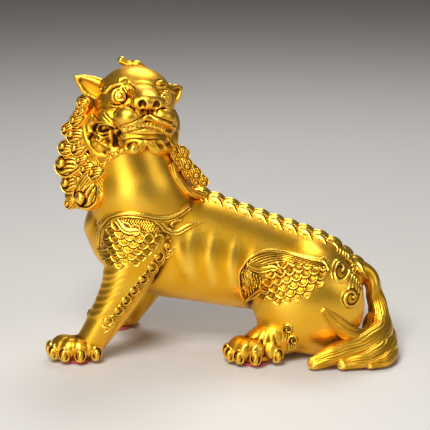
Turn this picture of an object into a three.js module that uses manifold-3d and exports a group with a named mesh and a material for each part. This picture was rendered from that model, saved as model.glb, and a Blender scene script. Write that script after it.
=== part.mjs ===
// A seated mythical beast cast in brass, its head turned over its left shoulder, on four felt foot pads.
// Millimetres, +Z up. The beast faces -X, its left side is -Y, and its pads rest on z = 0.
import * as THREE from "three";
import { mergeVertices } from "three/addons/utils/BufferGeometryUtils.js";
import Module from "manifold-3d";

const wasm = await Module();
wasm.setup();

// The casting: 200 long from its forepaws to its tail, 168 tall at the horn
const SOLE = 1.5; // the brass stands this high, on its pads
const UP = [0, 0, 1];
const AFT = [1, 0, 0];
const LEFT = [0, -1, 0];
const SHORTEST_EDGE = 0.9; // shorter edges, left where pieces cross, are drawn together

// Pads of red felt under the paws
const PAD = { radius: 8.5, thick: 1.2, sides: 18 };

// The right legs stand further back than the left ones
const SETBACK = { fore: 19, hind: 26 };

// Paws: centre, reach of the toes forward and outward, each toe's bearing from straight ahead, instep height
const FOREPAW = { at: [-82, -28.5], reach: [13.5, 9.5], bearings: [-4, 28, 58, 90, 124], instep: 12.5 };
const HINDPAW = { at: [18, -33], reach: [13.5, 9.5], bearings: [0, 34, 68, 100, 136], instep: 14 };

// The head's centre, and how far it is turned from facing -Y, tipped back and leant over, in degrees
const HEAD = { at: [-49, -10, 141], turn: 16, tip: 10, lean: 5 };

const radians = THREE.MathUtils.degToRad;
const vector = (p) => new THREE.Vector3(...p);

// A closed mesh from its points and triangles, turned so that its faces point out.
function closedMesh(points, triangles) {
  let volume = 0;
  for (const [a, b, c] of triangles) {
    volume += points[a].dot(points[b].clone().cross(points[c]));
  }
  const facing = volume < 0 ? triangles.map(([a, b, c]) => [a, c, b]) : triangles;
  return new THREE.BufferGeometry()
    .setAttribute("position", new THREE.Float32BufferAttribute(points.flatMap((p) => p.toArray()), 3))
    .setIndex(facing.flat());
}

// A rounded limb. Each station is [x, y, z, half width, half height]; the height lies towards `ref`.
function limb(stations, { sides = 12, steps = 10, ref = UP, blunt = [0.8, 0.8], caps = 1, start = 0 } = {}) {
  const spine = new THREE.CatmullRomCurve3(stations.map((s) => vector(s.slice(0, 3))));
  const sizes = new THREE.CatmullRomCurve3(stations.map((s) => new THREE.Vector3(s[3], s[4], 0)));
  spine.curveType = "catmullrom";
  sizes.curveType = "catmullrom";
  const sectionAt = (t, along, shrink) => {
    const tangent = spine.getTangent(t);
    const height = vector(ref).addScaledVector(tangent, -vector(ref).dot(tangent)).normalize();
    const width = tangent.clone().cross(height);
    const size = sizes.getPoint(t);
    const centre = spine.getPoint(t).addScaledVector(tangent, along);
    width.multiplyScalar(size.x * shrink);
    height.multiplyScalar(size.y * shrink);
    return { centre, width, height };
  };
  const endSize = (t) => (sizes.getPoint(t).x + sizes.getPoint(t).y) / 2;
  const [reachStart, reachEnd] = [endSize(0) * blunt[0], endSize(1) * blunt[1]];
  const sections = [];
  for (let i = caps; i >= 1; i--) {
    const a = (i / (caps + 1)) * (Math.PI / 2);
    sections.push(sectionAt(0, -reachStart * Math.sin(a), Math.cos(a)));
  }
  for (let i = 0; i <= steps; i++) {
    sections.push(sectionAt(i / steps, 0, 1));
  }
  for (let i = 1; i <= caps; i++) {
    const a = (i / (caps + 1)) * (Math.PI / 2);
    sections.push(sectionAt(1, reachEnd * Math.sin(a), Math.cos(a)));
  }
  const points = [sectionAt(0, -reachStart, 0).centre];
  for (const { centre, width, height } of sections) {
    for (let k = 0; k < sides; k++) {
      const a = start + (k / sides) * Math.PI * 2;
      points.push(centre.clone().addScaledVector(width, Math.cos(a)).addScaledVector(height, Math.sin(a)));
    }
  }
  points.push(sectionAt(1, reachEnd, 0).centre);
  const triangles = [];
  const last = points.length - 1;
  for (let k = 0; k < sides; k++) {
    const next = (k + 1) % sides;
    triangles.push([0, 1 + next, 1 + k]);
    for (let ring = 0; ring < sections.length - 1; ring++) {
      const [near, far] = [1 + ring * sides, 1 + (ring + 1) * sides];
      triangles.push([near + k, near + next, far + next], [near + k, far + next, far + k]);
    }
    triangles.push([last, last - sides + k, last - sides + next]);
  }
  return closedMesh(points, triangles);
}

// An ellipsoid with half axes `radii`
function ball(at, radii, { around = 12, down = 8 } = {}) {
  return new THREE.SphereGeometry(1, around, down)
    .rotateX(Math.PI / 2)
    .scale(...radii)
    .translate(...at);
}

// The same shape on the beast's other side
function mirrored(geometry) {
  const copy = geometry.clone().scale(1, -1, 1);
  const order = copy.index.array;
  for (let i = 0; i < order.length; i += 3) {
    [order[i + 1], order[i + 2]] = [order[i + 2], order[i + 1]];
  }
  return copy;
}

// A snail curl of hair in the XY plane, facing +Z: its rim winds out once round a raised eye, and its back
// tapers to a point `depth` behind, which roots it.
function snail(radius, { hand = 1, sides = 7, depth = radius * 2 } = {}) {
  const points = [new THREE.Vector3(0, 0, -depth)];
  for (const [share, height] of [[1, 0.3], [0.5, 0.12]]) {
    for (let k = 0; k < sides; k++) {
      const angle = hand * (k / sides) * Math.PI * 2;
      const out = radius * share * (0.8 + (0.35 * k) / sides);
      points.push(new THREE.Vector3(out * Math.cos(angle), out * Math.sin(angle), radius * height));
    }
  }
  points.push(new THREE.Vector3(0, 0, radius * 0.55));
  const triangles = [];
  const eye = points.length - 1;
  for (let k = 0; k < sides; k++) {
    const next = (k + 1) % sides;
    const [rim, rimNext, dip, dipNext] = [1 + k, 1 + next, 1 + sides + k, 1 + sides + next];
    triangles.push([0, rimNext, rim], [rim, rimNext, dipNext], [rim, dipNext, dip], [dip, dipNext, eye]);
  }
  return closedMesh(points, triangles);
}

// Sets a shape made in the XY plane at `at`, facing `facing`, with its +X turned towards `stem`.
function setOn(geometry, at, facing, stem) {
  const z = vector(facing).normalize();
  const x = vector(stem).addScaledVector(z, -vector(stem).dot(z)).normalize();
  const y = z.clone().cross(x);
  return geometry.applyMatrix4(new THREE.Matrix4().makeBasis(x, y, z).setPosition(...at));
}

// Closed geometry to a solid, and back
function solidOf(geometry) {
  const bare = new THREE.BufferGeometry()
    .setAttribute("position", geometry.getAttribute("position"))
    .setIndex(geometry.index);
  const merged = mergeVertices(bare, 1e-4);
  return new wasm.Manifold(
    new wasm.Mesh({
      numProp: 3,
      vertProperties: new Float32Array(merged.attributes.position.array),
      triVerts: new Uint32Array(merged.index.array),
    }),
  );
}
const join = (geometries) => geometries.map(solidOf).reduce((whole, piece) => whole.add(piece));
function geometryOf(solid) {
  const { vertProperties, triVerts } = solid.getMesh();
  return new THREE.BufferGeometry()
    .setAttribute("position", new THREE.BufferAttribute(new Float32Array(vertProperties), 3))
    .setIndex(new THREE.BufferAttribute(new Uint32Array(triVerts), 1));
}

// Trunk from rump to breast, and the neck that rises out of it
function trunk() {
  const barrel = [
    [74, 0, 38, 13, 12],
    [62, 0, 41.5, 22, 20],
    [46, 0, 44, 26, 23.5],
    [26, 0, 47.5, 26.5, 27],
    [6, 0, 52.5, 27, 29.5],
    [-14, 0, 58, 28, 31.5],
    [-34, 0, 63, 29, 33],
    [-51, 0, 70, 28, 29.5],
    [-63, 0, 77, 22, 23.5],
    [-70, 0, 81, 14, 17.5],
  ];
  const neck = [
    [-38, 0, 62, 27, 27],
    [-45, -2, 82, 28, 30],
    [-48, -4, 95, 27, 27.5],
    [-51, -5, 108, 24, 23.5],
    [-54, -7, 122, 20, 20],
    [-53, -8, 134, 17, 18],
  ];
  return [
    limb(barrel, { sides: 16, steps: 8, blunt: [0.6, 0.35] }),
    limb(neck, { sides: 14, steps: 5, ref: AFT, caps: 0 }),
  ];
}

// The left haunch, with the short shank that runs out of it to the paw
function haunch() {
  const thigh = [
    [45, -8, 57, 11, 14],
    [47, -14.5, 48, 16.5, 24],
    [48, -20, 38, 19.5, 31],
    [48, -21, 25, 19, 31.5],
    [47, -21, 14, 16, 26],
    [45, -21, 7, 10, 17],
  ];
  const shank = [
    [34, -24, 17, 11, 12],
    [26, -29, 14, 9.5, 9],
    [20, -31.5, 10, 9, 7.5],
  ];
  return [
    limb(thigh, { sides: 14, steps: 6, ref: AFT, blunt: [0.4, 0.4] }),
    limb(shank, { sides: 8, steps: 2 }),
  ];
}

// The left foreleg, from the shoulder to its paw
function foreleg() {
  const stations = [
    [-45, -13, 88, 9, 15],
    [-47.5, -19, 77, 13, 19.5],
    [-49, -22.5, 65, 14, 18.5],
    [-53, -25, 53, 12.5, 14.5],
    [-58, -26.5, 41, 11, 10.8],
    [-64.5, -27.5, 29, 9.8, 8.9],
    [-71, -28, 17, 9.5, 8.4],
    [-75.5, -28.5, 9, 9, 8.5],
  ];
  return [limb(stations, { sides: 12, steps: 7, ref: AFT })];
}

// A paw with its toes on an arc: each toe arches from the instep over its knuckle to a claw at the ground.
function paw({ at, reach, bearings, instep }) {
  const sole = [reach[0] * 0.85, reach[1] * 0.9, instep * 0.6];
  const parts = [ball([at[0], at[1], SOLE + instep * 0.42], sole, { around: 7, down: 4 })];
  for (const bearing of bearings) {
    const along = (share, height) => [
      at[0] - reach[0] * share * Math.cos(radians(bearing)),
      at[1] - reach[1] * share * Math.sin(radians(bearing)),
      SOLE + height,
    ];
    const toe = [
      [...along(0.3, instep * 0.72), 3.2, 3.2],
      [...along(0.76, instep * 0.64), 4.2, 4],
      [...along(1.08, instep * 0.36), 3.4, 3.4],
      [...along(1.28, 1.6), 1.4, 1.2],
    ];
    parts.push(limb(toe, { sides: 5, steps: 3, caps: 0, blunt: [0.8, 0.6], start: Math.PI / 2 }));
  }
  return parts;
}

// The tail drops from the rump, then its brush of hair sweeps forward along the left side of the haunch.
function tail() {
  const stem = [
    [68, 0, 45, 9, 9],
    [79.5, -1, 44.5, 6, 5.8],
    [85.5, -2, 37, 5.5, 5],
    [88.5, -4, 28, 6, 5.2],
    [90, -7, 19, 8, 6],
    [90.5, -11, 12, 9, 7.5],
  ];
  const longLock = [
    [89, -10, 15, 8, 7.5],
    [86, -25, 12.5, 8.5, 7],
    [74, -37, 10.5, 7, 6.5],
    [61, -43, 8, 5.5, 5.5],
    [51, -46, 4.5, 4, 3.6],
  ];
  const middleLock = [
    [91, -12, 9, 8, 7],
    [89.5, -28, 7.5, 8.5, 6.5],
    [80, -41, 5.5, 6.5, 5.5],
    [67, -46.5, 3.6, 3.6, 3],
  ];
  const outerLock = [
    [92, -14, 6, 6, 5],
    [93.5, -30, 5, 5, 4.5],
    [89, -41, 4, 4.5, 4],
    [82, -46, 2.8, 2.4, 2.2],
  ];
  const risingLock = [
    [84, -26, 12, 4, 5],
    [73, -35, 16, 3.8, 4.8],
    [64, -39, 24.5, 3, 4],
    [56, -40, 32, 1.6, 2.2],
  ];
  const locks = [longLock, middleLock, outerLock, risingLock];
  return [
    limb(stem, { sides: 8, steps: 5, ref: AFT }),
    ...locks.map((lock) => limb(lock, { sides: 6, steps: 4, blunt: [0.8, 1.2] })),
  ];
}

// The crest: a row of long leaves on the spine, and a row of hooked flames down each flank.
const CREST = {
  count: 12,
  base: [[-17, 92.5], [5, 83.5], [28, 75], [50, 67], [62, 61.5], [72, 53.5], [80, 46.5]],
  // Along the spine, off it, half width, half height
  leaf: [[-5.4, -0.6, 1, 0.8], [-0.5, 1.4, 3.4, 2.4], [5.6, 0.9, 0.6, 0.5]],
  flame: [[-2.5, 0, 1.4, 1.6], [2.4, -2, 2.4, 2.4], [5.6, -8, 0.6, 0.6]],
  flank: 4.6,
  sunk: 0.8,
};
function crest() {
  const line = new THREE.CatmullRomCurve3(CREST.base.map(([x, z]) => new THREE.Vector3(x, 0, z)));
  const parts = [];
  for (let i = 0; i < CREST.count; i++) {
    const t = (i + 0.5) / CREST.count;
    const { x, z } = line.getPointAt(t);
    const run = line.getTangentAt(t);
    const onRidge = ([along, lift, ...size]) => [
      x + along * run.x - lift * run.z,
      -CREST.sunk,
      z + along * run.z + lift * run.x,
      ...size,
    ];
    const onFlank = ([along, drop, ...size]) => [
      x + along,
      drop * 0.85 - CREST.flank,
      z + along * run.z + drop * 0.5,
      ...size,
    ];
    const hook = limb(CREST.flame.map(onFlank), { sides: 3, steps: 2, caps: 0, start: Math.PI / 2 });
    parts.push(limb(CREST.leaf.map(onRidge), { sides: 4, steps: 2, caps: 0 }), hook, mirrored(hook));
  }
  return parts;
}

// The mane is a ruff of snail curls round the neck, open at the throat. Each row gives its height, its centre
// and half widths, and its curls: count, radius, and the bearings of the first and last, from aft round by the
// right side.
const RUFF = [
  { z: 142, x: -54.5, y: 3, rx: 24, ry: 21, count: 4, curl: 6, from: 20, to: 165 },
  { z: 131, x: -57, y: 3, rx: 27, ry: 24, count: 4, curl: 6.5, from: 0, to: 145 },
  { z: 119.5, x: -58.5, y: 3, rx: 29, ry: 26, count: 4, curl: 7, from: 18, to: 160 },
  { z: 107.5, x: -58.5, y: 2, rx: 31, ry: 27, count: 4, curl: 7, from: 0, to: 140 },
  { z: 95.5, x: -55.5, y: 1, rx: 34, ry: 28, count: 4, curl: 7.2, from: 20, to: 155 },
];
// Curls at the ruff's two edges, beside the throat: centre and radius
const CURLS = [
  { facing: [-0.6, -0.8, 0.1], curls: [
    [-81, -14, 138, 3.4], [-86.5, -12, 131, 4.6], [-88.5, -11, 120, 4.2], [-80.5, -18, 121, 4],
    [-89.5, -10, 108.5, 5.2], [-80, -19, 111, 4], [-87, -12, 97.5, 5], [-74, -22, 107, 4.6],
    [-86, -8, 88.5, 4], [-79, -20, 88.5, 6.6],
  ] },
  { facing: [0.5, -0.8, 0.3], curls: [[-29, -13, 112, 3], [-24, -11, 103, 3.4], [-19, -10, 97, 3.8]] },
];
const FORELOCK = [[-71, -15, 106, 5, 7], [-75, -14, 97, 8, 7], [-77, -14, 89, 7, 6]];
const COLLAR = [
  [-12, -8, 90.5, 2.4, 2.4],
  [-20, -14.5, 93.5, 3, 2.8],
  [-27, -19, 101, 2.6, 2.6],
  [-31, -18, 110, 2, 2],
];
const CURL_STANDS = 4; // how far the ruff's curls stand off the hair under them
function mane() {
  const under = RUFF.map(({ z, x, y, rx, ry }) => [x, y, z, ry - CURL_STANDS, rx - CURL_STANDS]);
  const parts = [
    limb(under, { sides: 12, steps: 3, ref: AFT, caps: 0 }),
    limb(FORELOCK, { sides: 7, steps: 3, ref: LEFT }),
    limb(COLLAR, { sides: 5, steps: 4, caps: 0 }),
  ];
  for (const { z, x, y, rx, ry, count, curl, from, to } of RUFF) {
    for (let i = 0; i < count; i++) {
      const bearing = radians(from + ((to - from) * i) / (count - 1));
      const out = [Math.cos(bearing), Math.sin(bearing), 0.1];
      const roll = snail(curl, { hand: i % 2 ? 1 : -1 });
      parts.push(setOn(roll, [x + rx * out[0], y + ry * out[1], z], out, UP));
    }
  }
  for (const { facing, curls } of CURLS) {
    curls.forEach(([x, y, z, radius], i) => {
      const roll = snail(radius, { hand: i % 2 ? 1 : -1, depth: radius * 3.5 });
      parts.push(setOn(roll, [x, y, z], facing, UP));
    });
  }
  return parts;
}

// The head in its own frame: +X its right side, +Y the way it faces, +Z its crown
function headFrame() {
  const turn = new THREE.Matrix4().makeRotationZ(Math.PI + radians(HEAD.turn));
  const tip = new THREE.Matrix4().makeRotationX(radians(HEAD.tip));
  const lean = new THREE.Matrix4().makeRotationY(radians(-HEAD.lean));
  return turn.multiply(tip).multiply(lean).setPosition(...HEAD.at);
}
const EARS = [
  { side: 1, tip: [33.5, -7, 16.5], root: [18, -3, 8.5] },
  { side: -1, tip: [28.5, -7, 12.5], root: [18, -3, 7.5] },
];
// One half of the face: [x, y, z, half width, half height] along each feature
const HALF_FACE = {
  brow: [[5, 19, 14.5, 1.8, 1.6], [10, 18, 16, 2.6, 2.2], [15, 15, 13.5, 2.4, 2], [18.5, 11.5, 9.5, 1.8, 1.6]],
  upperLip: [
    [-2, 34, -6, 1.3, 1.5],
    [6, 32.5, -9.5, 1.3, 1.5],
    [12, 27, -12.5, 1.3, 1.5],
    [21.5, 8, -12, 1.3, 1.5],
  ],
  lowerLip: [[-1, 29.5, -15, 1.8, 2.2], [8, 27, -15.5, 1.8, 2.2], [15, 13, -16.5, 1.6, 1.8]],
  jaw: [
    [23.5, -4, 1, 1.6, 1.4],
    [26.5, -6, -10, 1.8, 1.8],
    [26, -4, -19, 2.4, 2.2],
    [22, 0, -25, 3, 2.6],
    [16.5, 5, -26.5, 1.8, 1.8],
  ],
  beard: [
    [1.5, 27, -18, 1.4, 1.6],
    [4, 26, -20.5, 2, 2],
    [7, 24.5, -22.5, 2.6, 2.4],
    [9.5, 22.5, -21.5, 1.4, 1.4],
  ],
};
const HORN = [[-5, -5, 22.5, 2.4, 1.8], [-1.5, -6, 24.5, 3, 2.2], [2.5, -7, 24.3, 2, 1.8], [7, -8, 26.2, 2.6, 2.5]];
const FOREHEAD = [[0, 14, 15, 7, 6], [0, 19, 9.5, 5.5, 4], [0, 20, 5, 3, 3]];
const NOSE = [[0, 19, 4.5, 5.5, 4], [0, 26, 4, 6.5, 4.2], [0, 31, 2.5, 7, 4.2]];
const MOUTH = [[-9, 27, -11.5, 5, 1.6], [0, 29, -10.5, 5, 2.4], [9, 27, -11.5, 5, 1.6]];
const TEETH = [[-9, 24, -11, 3, 1.6], [0, 26, -10, 3, 2.2], [9, 24, -11, 3, 1.6]];
function head() {
  const skull = [
    ball([0, -1, 2.5], [22.5, 21, 21], { around: 12, down: 7 }),
    limb(FOREHEAD, { sides: 6, steps: 2 }),
    ball([0, 19, -6], [15, 12, 9], { around: 10, down: 6 }),
    ball([0, 15, -17.5], [12.5, 12, 5.5], { around: 8, down: 4 }),
    limb(NOSE, { sides: 6, steps: 2, start: Math.PI / 2 }),
    limb(HORN, { sides: 5, steps: 4 }),
  ];
  const pits = [limb(MOUTH, { sides: 4, steps: 2, caps: 0 })];
  const teeth = [limb(TEETH, { sides: 4, steps: 2, caps: 0 })];
  for (const side of [1, -1]) {
    const at = (x, ...rest) => [side * x, ...rest];
    const half = (feature, steps, ref = UP) =>
      limb(HALF_FACE[feature].map((station) => at(...station)), { sides: 4, steps, ref, caps: 0 });
    skull.push(
      ball(at(14, 3, -8), [11, 14, 12], { around: 8, down: 6 }),
      ball(at(8.4, 27, -4.8), [7.2, 7, 6.6], { around: 8, down: 5 }),
      ball(at(5.4, 31, 1.6), [3.6, 3.6, 3.4], { around: 6, down: 4 }),
      ball(at(12.9, 15, 6), [3.8, 3.6, 3.8], { around: 7, down: 4 }),
      half("brow", 3),
      half("upperLip", 4),
      half("lowerLip", 3),
      half("jaw", 4, [0, 1, 0]),
      half("beard", 2),
    );
    pits.push(ball(at(5.4, 34.6, 0.6), [2, 2.4, 2], { around: 5, down: 3 }));
  }
  for (const { side, tip, root } of EARS) {
    const station = (share, forward, up, ...size) => {
      const { x, y, z } = vector(root).lerp(vector(tip), share);
      return [side * x, y + forward, z + up, ...size];
    };
    const ear = [station(0, 0, 0, 3.5, 6), station(0.5, 0, 0.4, 3, 5.2), station(1, 0, 0, 0.8, 0.8)];
    const hollow = [
      station(0.2, 3.2, -1, 1, 3),
      station(0.45, 3.2, -0.6, 1, 3),
      station(0.75, 3.2, -0.4, 1, 1.4),
    ];
    skull.push(limb(ear, { sides: 6, steps: 2, caps: 0 }));
    pits.push(limb(hollow, { sides: 4, steps: 1, caps: 0 }));
  }
  const frame = headFrame();
  return [skull, pits, teeth].map((pieces) => pieces.map((piece) => piece.applyMatrix4(frame)));
}

// Relief is drawn in side view as [x, z] and laid on the left side of the masses.
function leftSideOf(masses) {
  const bothSides = new THREE.MeshBasicMaterial({ side: THREE.DoubleSide });
  const targets = masses.map((geometry) => new THREE.Mesh(geometry, bothSides));
  return ([x, z]) => {
    const ray = new THREE.Raycaster(new THREE.Vector3(x, -200, z), new THREE.Vector3(0, 1, 0));
    const [{ point, face }] = ray.intersectObjects(targets, false);
    const normal = face.normal.y > 0 ? face.normal.clone().negate() : face.normal;
    return { at: point.toArray(), normal: normal.toArray() };
  };
}
// A rib along a path, half sunk; its half width can pinch in `scallops` times along the way.
function rib(drop, path, [width, height], { steps = 8, scallops = 0, ends = 0.5 } = {}) {
  const curve = new THREE.CatmullRomCurve3(path.map(([x, z]) => new THREE.Vector3(x, 0, z)));
  const stations = [];
  for (let i = 0; i <= steps; i++) {
    const t = i / steps;
    const { x, z } = curve.getPointAt(t);
    const swell = scallops ? 0.6 + 0.4 * Math.abs(Math.sin(t * scallops * Math.PI)) : 1;
    const taper = ends + (1 - ends) * Math.sin(t * Math.PI) ** 0.5;
    stations.push([...drop([x, z]).at, width * swell * taper, height]);
  }
  return limb(stations, { sides: 3, steps, ref: LEFT, caps: 0, start: Math.PI / 2 });
}
function curlOn(drop, place, radius, hand, stem) {
  const { at, normal } = drop(place);
  return setOn(snail(radius, { hand, sides: 6, depth: radius * 0.5 }), at, normal, stem);
}

// Shoulder: a flame band with two branches, and curls down the back edge of the leg
const BAND = [
  [-67, 73], [-65.5, 79], [-61.4, 84], [-55.8, 86.6], [-47.5, 86.5], [-38, 84.4], [-30, 83.2], [-25, 85.2],
  [-17, 88],
];
const BRANCHES = [
  [[-60, 82.9], [-56.6, 81.1], [-52.9, 77.8], [-44, 76.7]],
  [[-39, 82.8], [-34.6, 79.3], [-31, 75], [-25.8, 73.3], [-14, 76.6]],
];
const LEG_CURLS = { from: [-32, 66.5], to: [-64, 27], count: 8, radius: 3.3 };
function shoulderRelief(drop, setback) {
  const moved = (path) => path.map(([x, z]) => [x + setback / 2, z - setback / 5]);
  const band = rib(drop, moved(BAND), [2.2, 1.5], { steps: 10 });
  const branches = BRANCHES.map((branch) => rib(drop, moved(branch), [1.9, 1.4], { steps: 4 }));
  return [band, ...branches];
}
function legCurls(drop) {
  const { from, to, count, radius } = LEG_CURLS;
  return Array.from({ length: count }, (_, i) => {
    const t = i / (count - 1);
    const place = [from[0] + (to[0] - from[0]) * t, from[1] + (to[1] - from[1]) * t];
    return curlOn(drop, place, radius * (1 - 0.2 * t), -1, [1, 0, -0.4]);
  });
}

// Haunch: a folded wing of feathers, and two curls on the rump
const WING = {
  edge: [
    [22, 35.7], [12.2, 31.5], [9, 39], [9, 48.4], [11.8, 55.8], [17.3, 60.5], [25.8, 61.9], [43.5, 59.8],
    [57, 55],
  ],
  rows: [
    [[13, 44], [22, 41], [33, 40.5], [44, 44.5]],
    [[12, 49], [24, 46], [37, 46], [50, 50]],
    [[28, 55], [38, 52], [46, 52], [54, 53.5]],
  ],
  leaves: [[[13.2, 54.5], [19.8, 51.5], [25.8, 52], [31, 55]], [[30, 58.5], [42, 57], [55, 55]]],
  hem: [[24, 36], [34, 36.5], [43.2, 40.9], [51.6, 47.7], [56, 53]],
};
const RUMP_CURLS = [{ at: [66, 51.5], radius: 5 }, { at: [72, 37.5], radius: 5.2 }];
const HOCK_CURLS = [{ at: [34.6, 21], radius: 3.4 }, { at: [38, 14.4], radius: 3 }];
function wing(drop, full) {
  const edge = rib(drop, WING.edge, [1.6, 1.5], { steps: 10 });
  const hem = rib(drop, WING.hem, [2.4, 1.5], { steps: 8, scallops: 4 });
  const feathers = WING.rows.map((row) => rib(drop, row, [2.6, 1.5], { steps: 6, scallops: 3 }));
  const leaves = WING.leaves.map((leaf) => rib(drop, leaf, [2, 1.6], { steps: 3, ends: 0.2 }));
  return full ? [edge, hem, ...feathers, ...leaves] : [edge, hem];
}
function rearCurls(drop) {
  const curls = [...RUMP_CURLS, ...HOCK_CURLS];
  return curls.map(({ at, radius }, i) => curlOn(drop, at, radius, i % 2 ? 1 : -1, [1, 0, 1]));
}

// Draws together the short edges that a join leaves where two pieces cross. A move that would flatten a triangle or
// turn it by more than 60 degrees isn't made.
const SLIVER = 1e-3;
const SAME_FACING = Math.cos(radians(60));
function withoutShortEdges(geometry, shortest) {
  const { position } = geometry.attributes;
  const corners = geometry.index.array;
  const cornerAt = (i) => new THREE.Vector3().fromBufferAttribute(position, i);
  const points = Array.from({ length: position.count }, (_, i) => cornerAt(i));
  const triangles = Array.from({ length: corners.length / 3 }, (_, t) => [...corners.slice(t * 3, t * 3 + 3)]);
  const around = points.map(() => new Set());
  triangles.forEach((triangle, t) => triangle.forEach((p) => around[p].add(t)));
  const neighbours = (p) => new Set([...around[p]].flatMap((t) => triangles[t]).filter((q) => q !== p));
  const normalOf = ([a, b, c]) => points[b].clone().sub(points[a]).cross(points[c].clone().sub(points[a]));
  const drawTogether = (kept, dropped) => {
    const shared = [...around[dropped]].filter((t) => around[kept].has(t));
    const moved = [...around[dropped]].filter((t) => !around[kept].has(t));
    const nextToKept = neighbours(kept);
    const common = [...neighbours(dropped)].filter((p) => nextToKept.has(p));
    const after = moved.map((t) => triangles[t].map((p) => (p === dropped ? kept : p)));
    const folds = after.some((triangle, i) => {
      const was = normalOf(triangles[moved[i]]).normalize();
      const is = normalOf(triangle);
      return is.length() < SLIVER || is.normalize().dot(was) < SAME_FACING;
    });
    if (shared.length !== 2 || common.length !== 2 || folds) {
      return false;
    }
    for (const t of shared) {
      triangles[t].forEach((p) => around[p].delete(t));
      triangles[t] = null;
    }
    moved.forEach((t, i) => {
      triangles[t] = after[i];
      around[kept].add(t);
    });
    around[dropped].clear();
    return true;
  };
  const shrink = ([a, b, c]) =>
    [[a, b], [b, c], [c, a]].some(([p, q]) => points[p].distanceTo(points[q]) < shortest && drawTogether(p, q));
  let shrunk = true;
  while (shrunk) {
    shrunk = triangles.filter((_, t) => triangles[t] && shrink(triangles[t])).length > 0;
  }
  return closedMesh(points, triangles.filter(Boolean));
}

// A flat round of felt, stuck under a paw
function pad() {
  return new THREE.CylinderGeometry(PAD.radius, PAD.radius, PAD.thick, PAD.sides)
    .rotateX(Math.PI / 2)
    .translate(0, 0, PAD.thick / 2);
}

function casting() {
  const back = (pieces, setback) => pieces.map((piece) => piece.clone().translate(setback, 0, 0));
  const right = (pieces) => pieces.map(mirrored);
  const leftSide = leftSideOf([...trunk(), ...foreleg(), ...haunch()]);
  const rightSide = leftSideOf([...right(trunk()), ...back(foreleg(), SETBACK.fore), ...haunch()]);
  const [skull, pits, teeth] = head();
  const rightLegs = [
    ...back([...foreleg(), ...paw(FOREPAW)], SETBACK.fore),
    ...haunch(),
    ...back(paw(HINDPAW), SETBACK.hind),
  ];
  const masses = [
    ...trunk(),
    ...foreleg(),
    ...haunch(),
    ...paw(FOREPAW),
    ...paw(HINDPAW),
    ...right(rightLegs),
    ...tail(),
    ...crest(),
    ...mane(),
    ...skull,
  ];
  const relief = [
    ...shoulderRelief(leftSide, 0),
    ...legCurls(leftSide),
    ...rearCurls(leftSide),
    ...wing(leftSide, true),
    ...right([...shoulderRelief(rightSide, SETBACK.fore), ...wing(rightSide, false)]),
  ];
  const below = new THREE.BoxGeometry(400, 400, 100).translate(0, 0, SOLE - 50);
  const carved = join(masses).subtract(join(pits)).add(join([...teeth, ...relief]));
  return withoutShortEdges(geometryOf(carved.subtract(solidOf(below))), SHORTEST_EDGE);
}

const brass = new THREE.MeshStandardMaterial({ color: 0xd9a441, roughness: 0.3, metalness: 1 });
const felt = new THREE.MeshStandardMaterial({ color: 0xb3121c, roughness: 1, metalness: 0 });

const figure = new THREE.Group();
const beast = new THREE.Mesh(casting(), brass);
beast.name = "beast_casting";
figure.add(beast);
const PADS = {
  felt_pad_left_fore: FOREPAW.at,
  felt_pad_right_fore: [FOREPAW.at[0] + SETBACK.fore, -FOREPAW.at[1]],
  felt_pad_left_hind: HINDPAW.at,
  felt_pad_right_hind: [HINDPAW.at[0] + SETBACK.hind, -HINDPAW.at[1]],
};
for (const [name, [x, y]] of Object.entries(PADS)) {
  const mesh = new THREE.Mesh(pad(), felt);
  mesh.name = name;
  mesh.position.set(x, y, 0);
  figure.add(mesh);
}

// The origin is the middle of the figure's footprint, on the surface that it stands on
const { min, max } = new THREE.Box3().setFromObject(figure);
for (const mesh of figure.children) {
  mesh.position.x -= (min.x + max.x) / 2;
  mesh.position.y -= (min.y + max.y) / 2;
}

export default figure;
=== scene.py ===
"""A seated mythical beast of cast brass on felt foot pads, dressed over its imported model."""
import math

import bpy
import numpy as np
from mathutils import Matrix, Vector
from mathutils.bvhtree import BVHTree


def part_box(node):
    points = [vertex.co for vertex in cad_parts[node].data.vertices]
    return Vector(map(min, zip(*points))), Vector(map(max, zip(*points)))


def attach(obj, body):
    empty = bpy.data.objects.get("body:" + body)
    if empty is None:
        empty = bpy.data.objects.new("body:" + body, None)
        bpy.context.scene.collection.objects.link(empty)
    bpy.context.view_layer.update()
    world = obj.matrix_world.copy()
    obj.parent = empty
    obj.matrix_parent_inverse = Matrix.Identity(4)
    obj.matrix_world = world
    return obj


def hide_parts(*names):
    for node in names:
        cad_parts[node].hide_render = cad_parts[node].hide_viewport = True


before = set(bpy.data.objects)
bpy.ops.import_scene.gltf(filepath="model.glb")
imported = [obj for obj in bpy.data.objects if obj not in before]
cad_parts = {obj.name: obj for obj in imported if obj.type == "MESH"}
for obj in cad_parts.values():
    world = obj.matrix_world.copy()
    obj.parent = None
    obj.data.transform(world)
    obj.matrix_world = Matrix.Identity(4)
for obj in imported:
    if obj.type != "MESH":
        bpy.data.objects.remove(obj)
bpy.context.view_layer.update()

bpy.ops.object.select_all(action="DESELECT")

# Sizes are millimetres in the beast's own frame. A piece gets metres in the row's frame when it is made.
MM = 0.001
UP = (0.0, 0.0, 1.0)
AFT = (1.0, 0.0, 0.0)
LEFT = (0.0, -1.0, 0.0)
SOLE = 1.5
# How far the far legs stand behind the near ones
SETBACK = {"fore": 19.0, "hind": 26.0}
FOREPAW = {"at": (-82.0, -28.5), "reach": (13.5, 9.5), "bearings": (-2, 32, 64, 98, 134), "instep": 12.5}
HINDPAW = {"at": (18.0, -33.0), "reach": (13.5, 9.5), "bearings": (-2, 26, 54, 90, 142), "instep": 14.0}
HEAD = {"at": (-49.0, -10.0, 141.0), "turn": 16.0, "tip": 10.0, "lean": 5.0}

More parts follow.
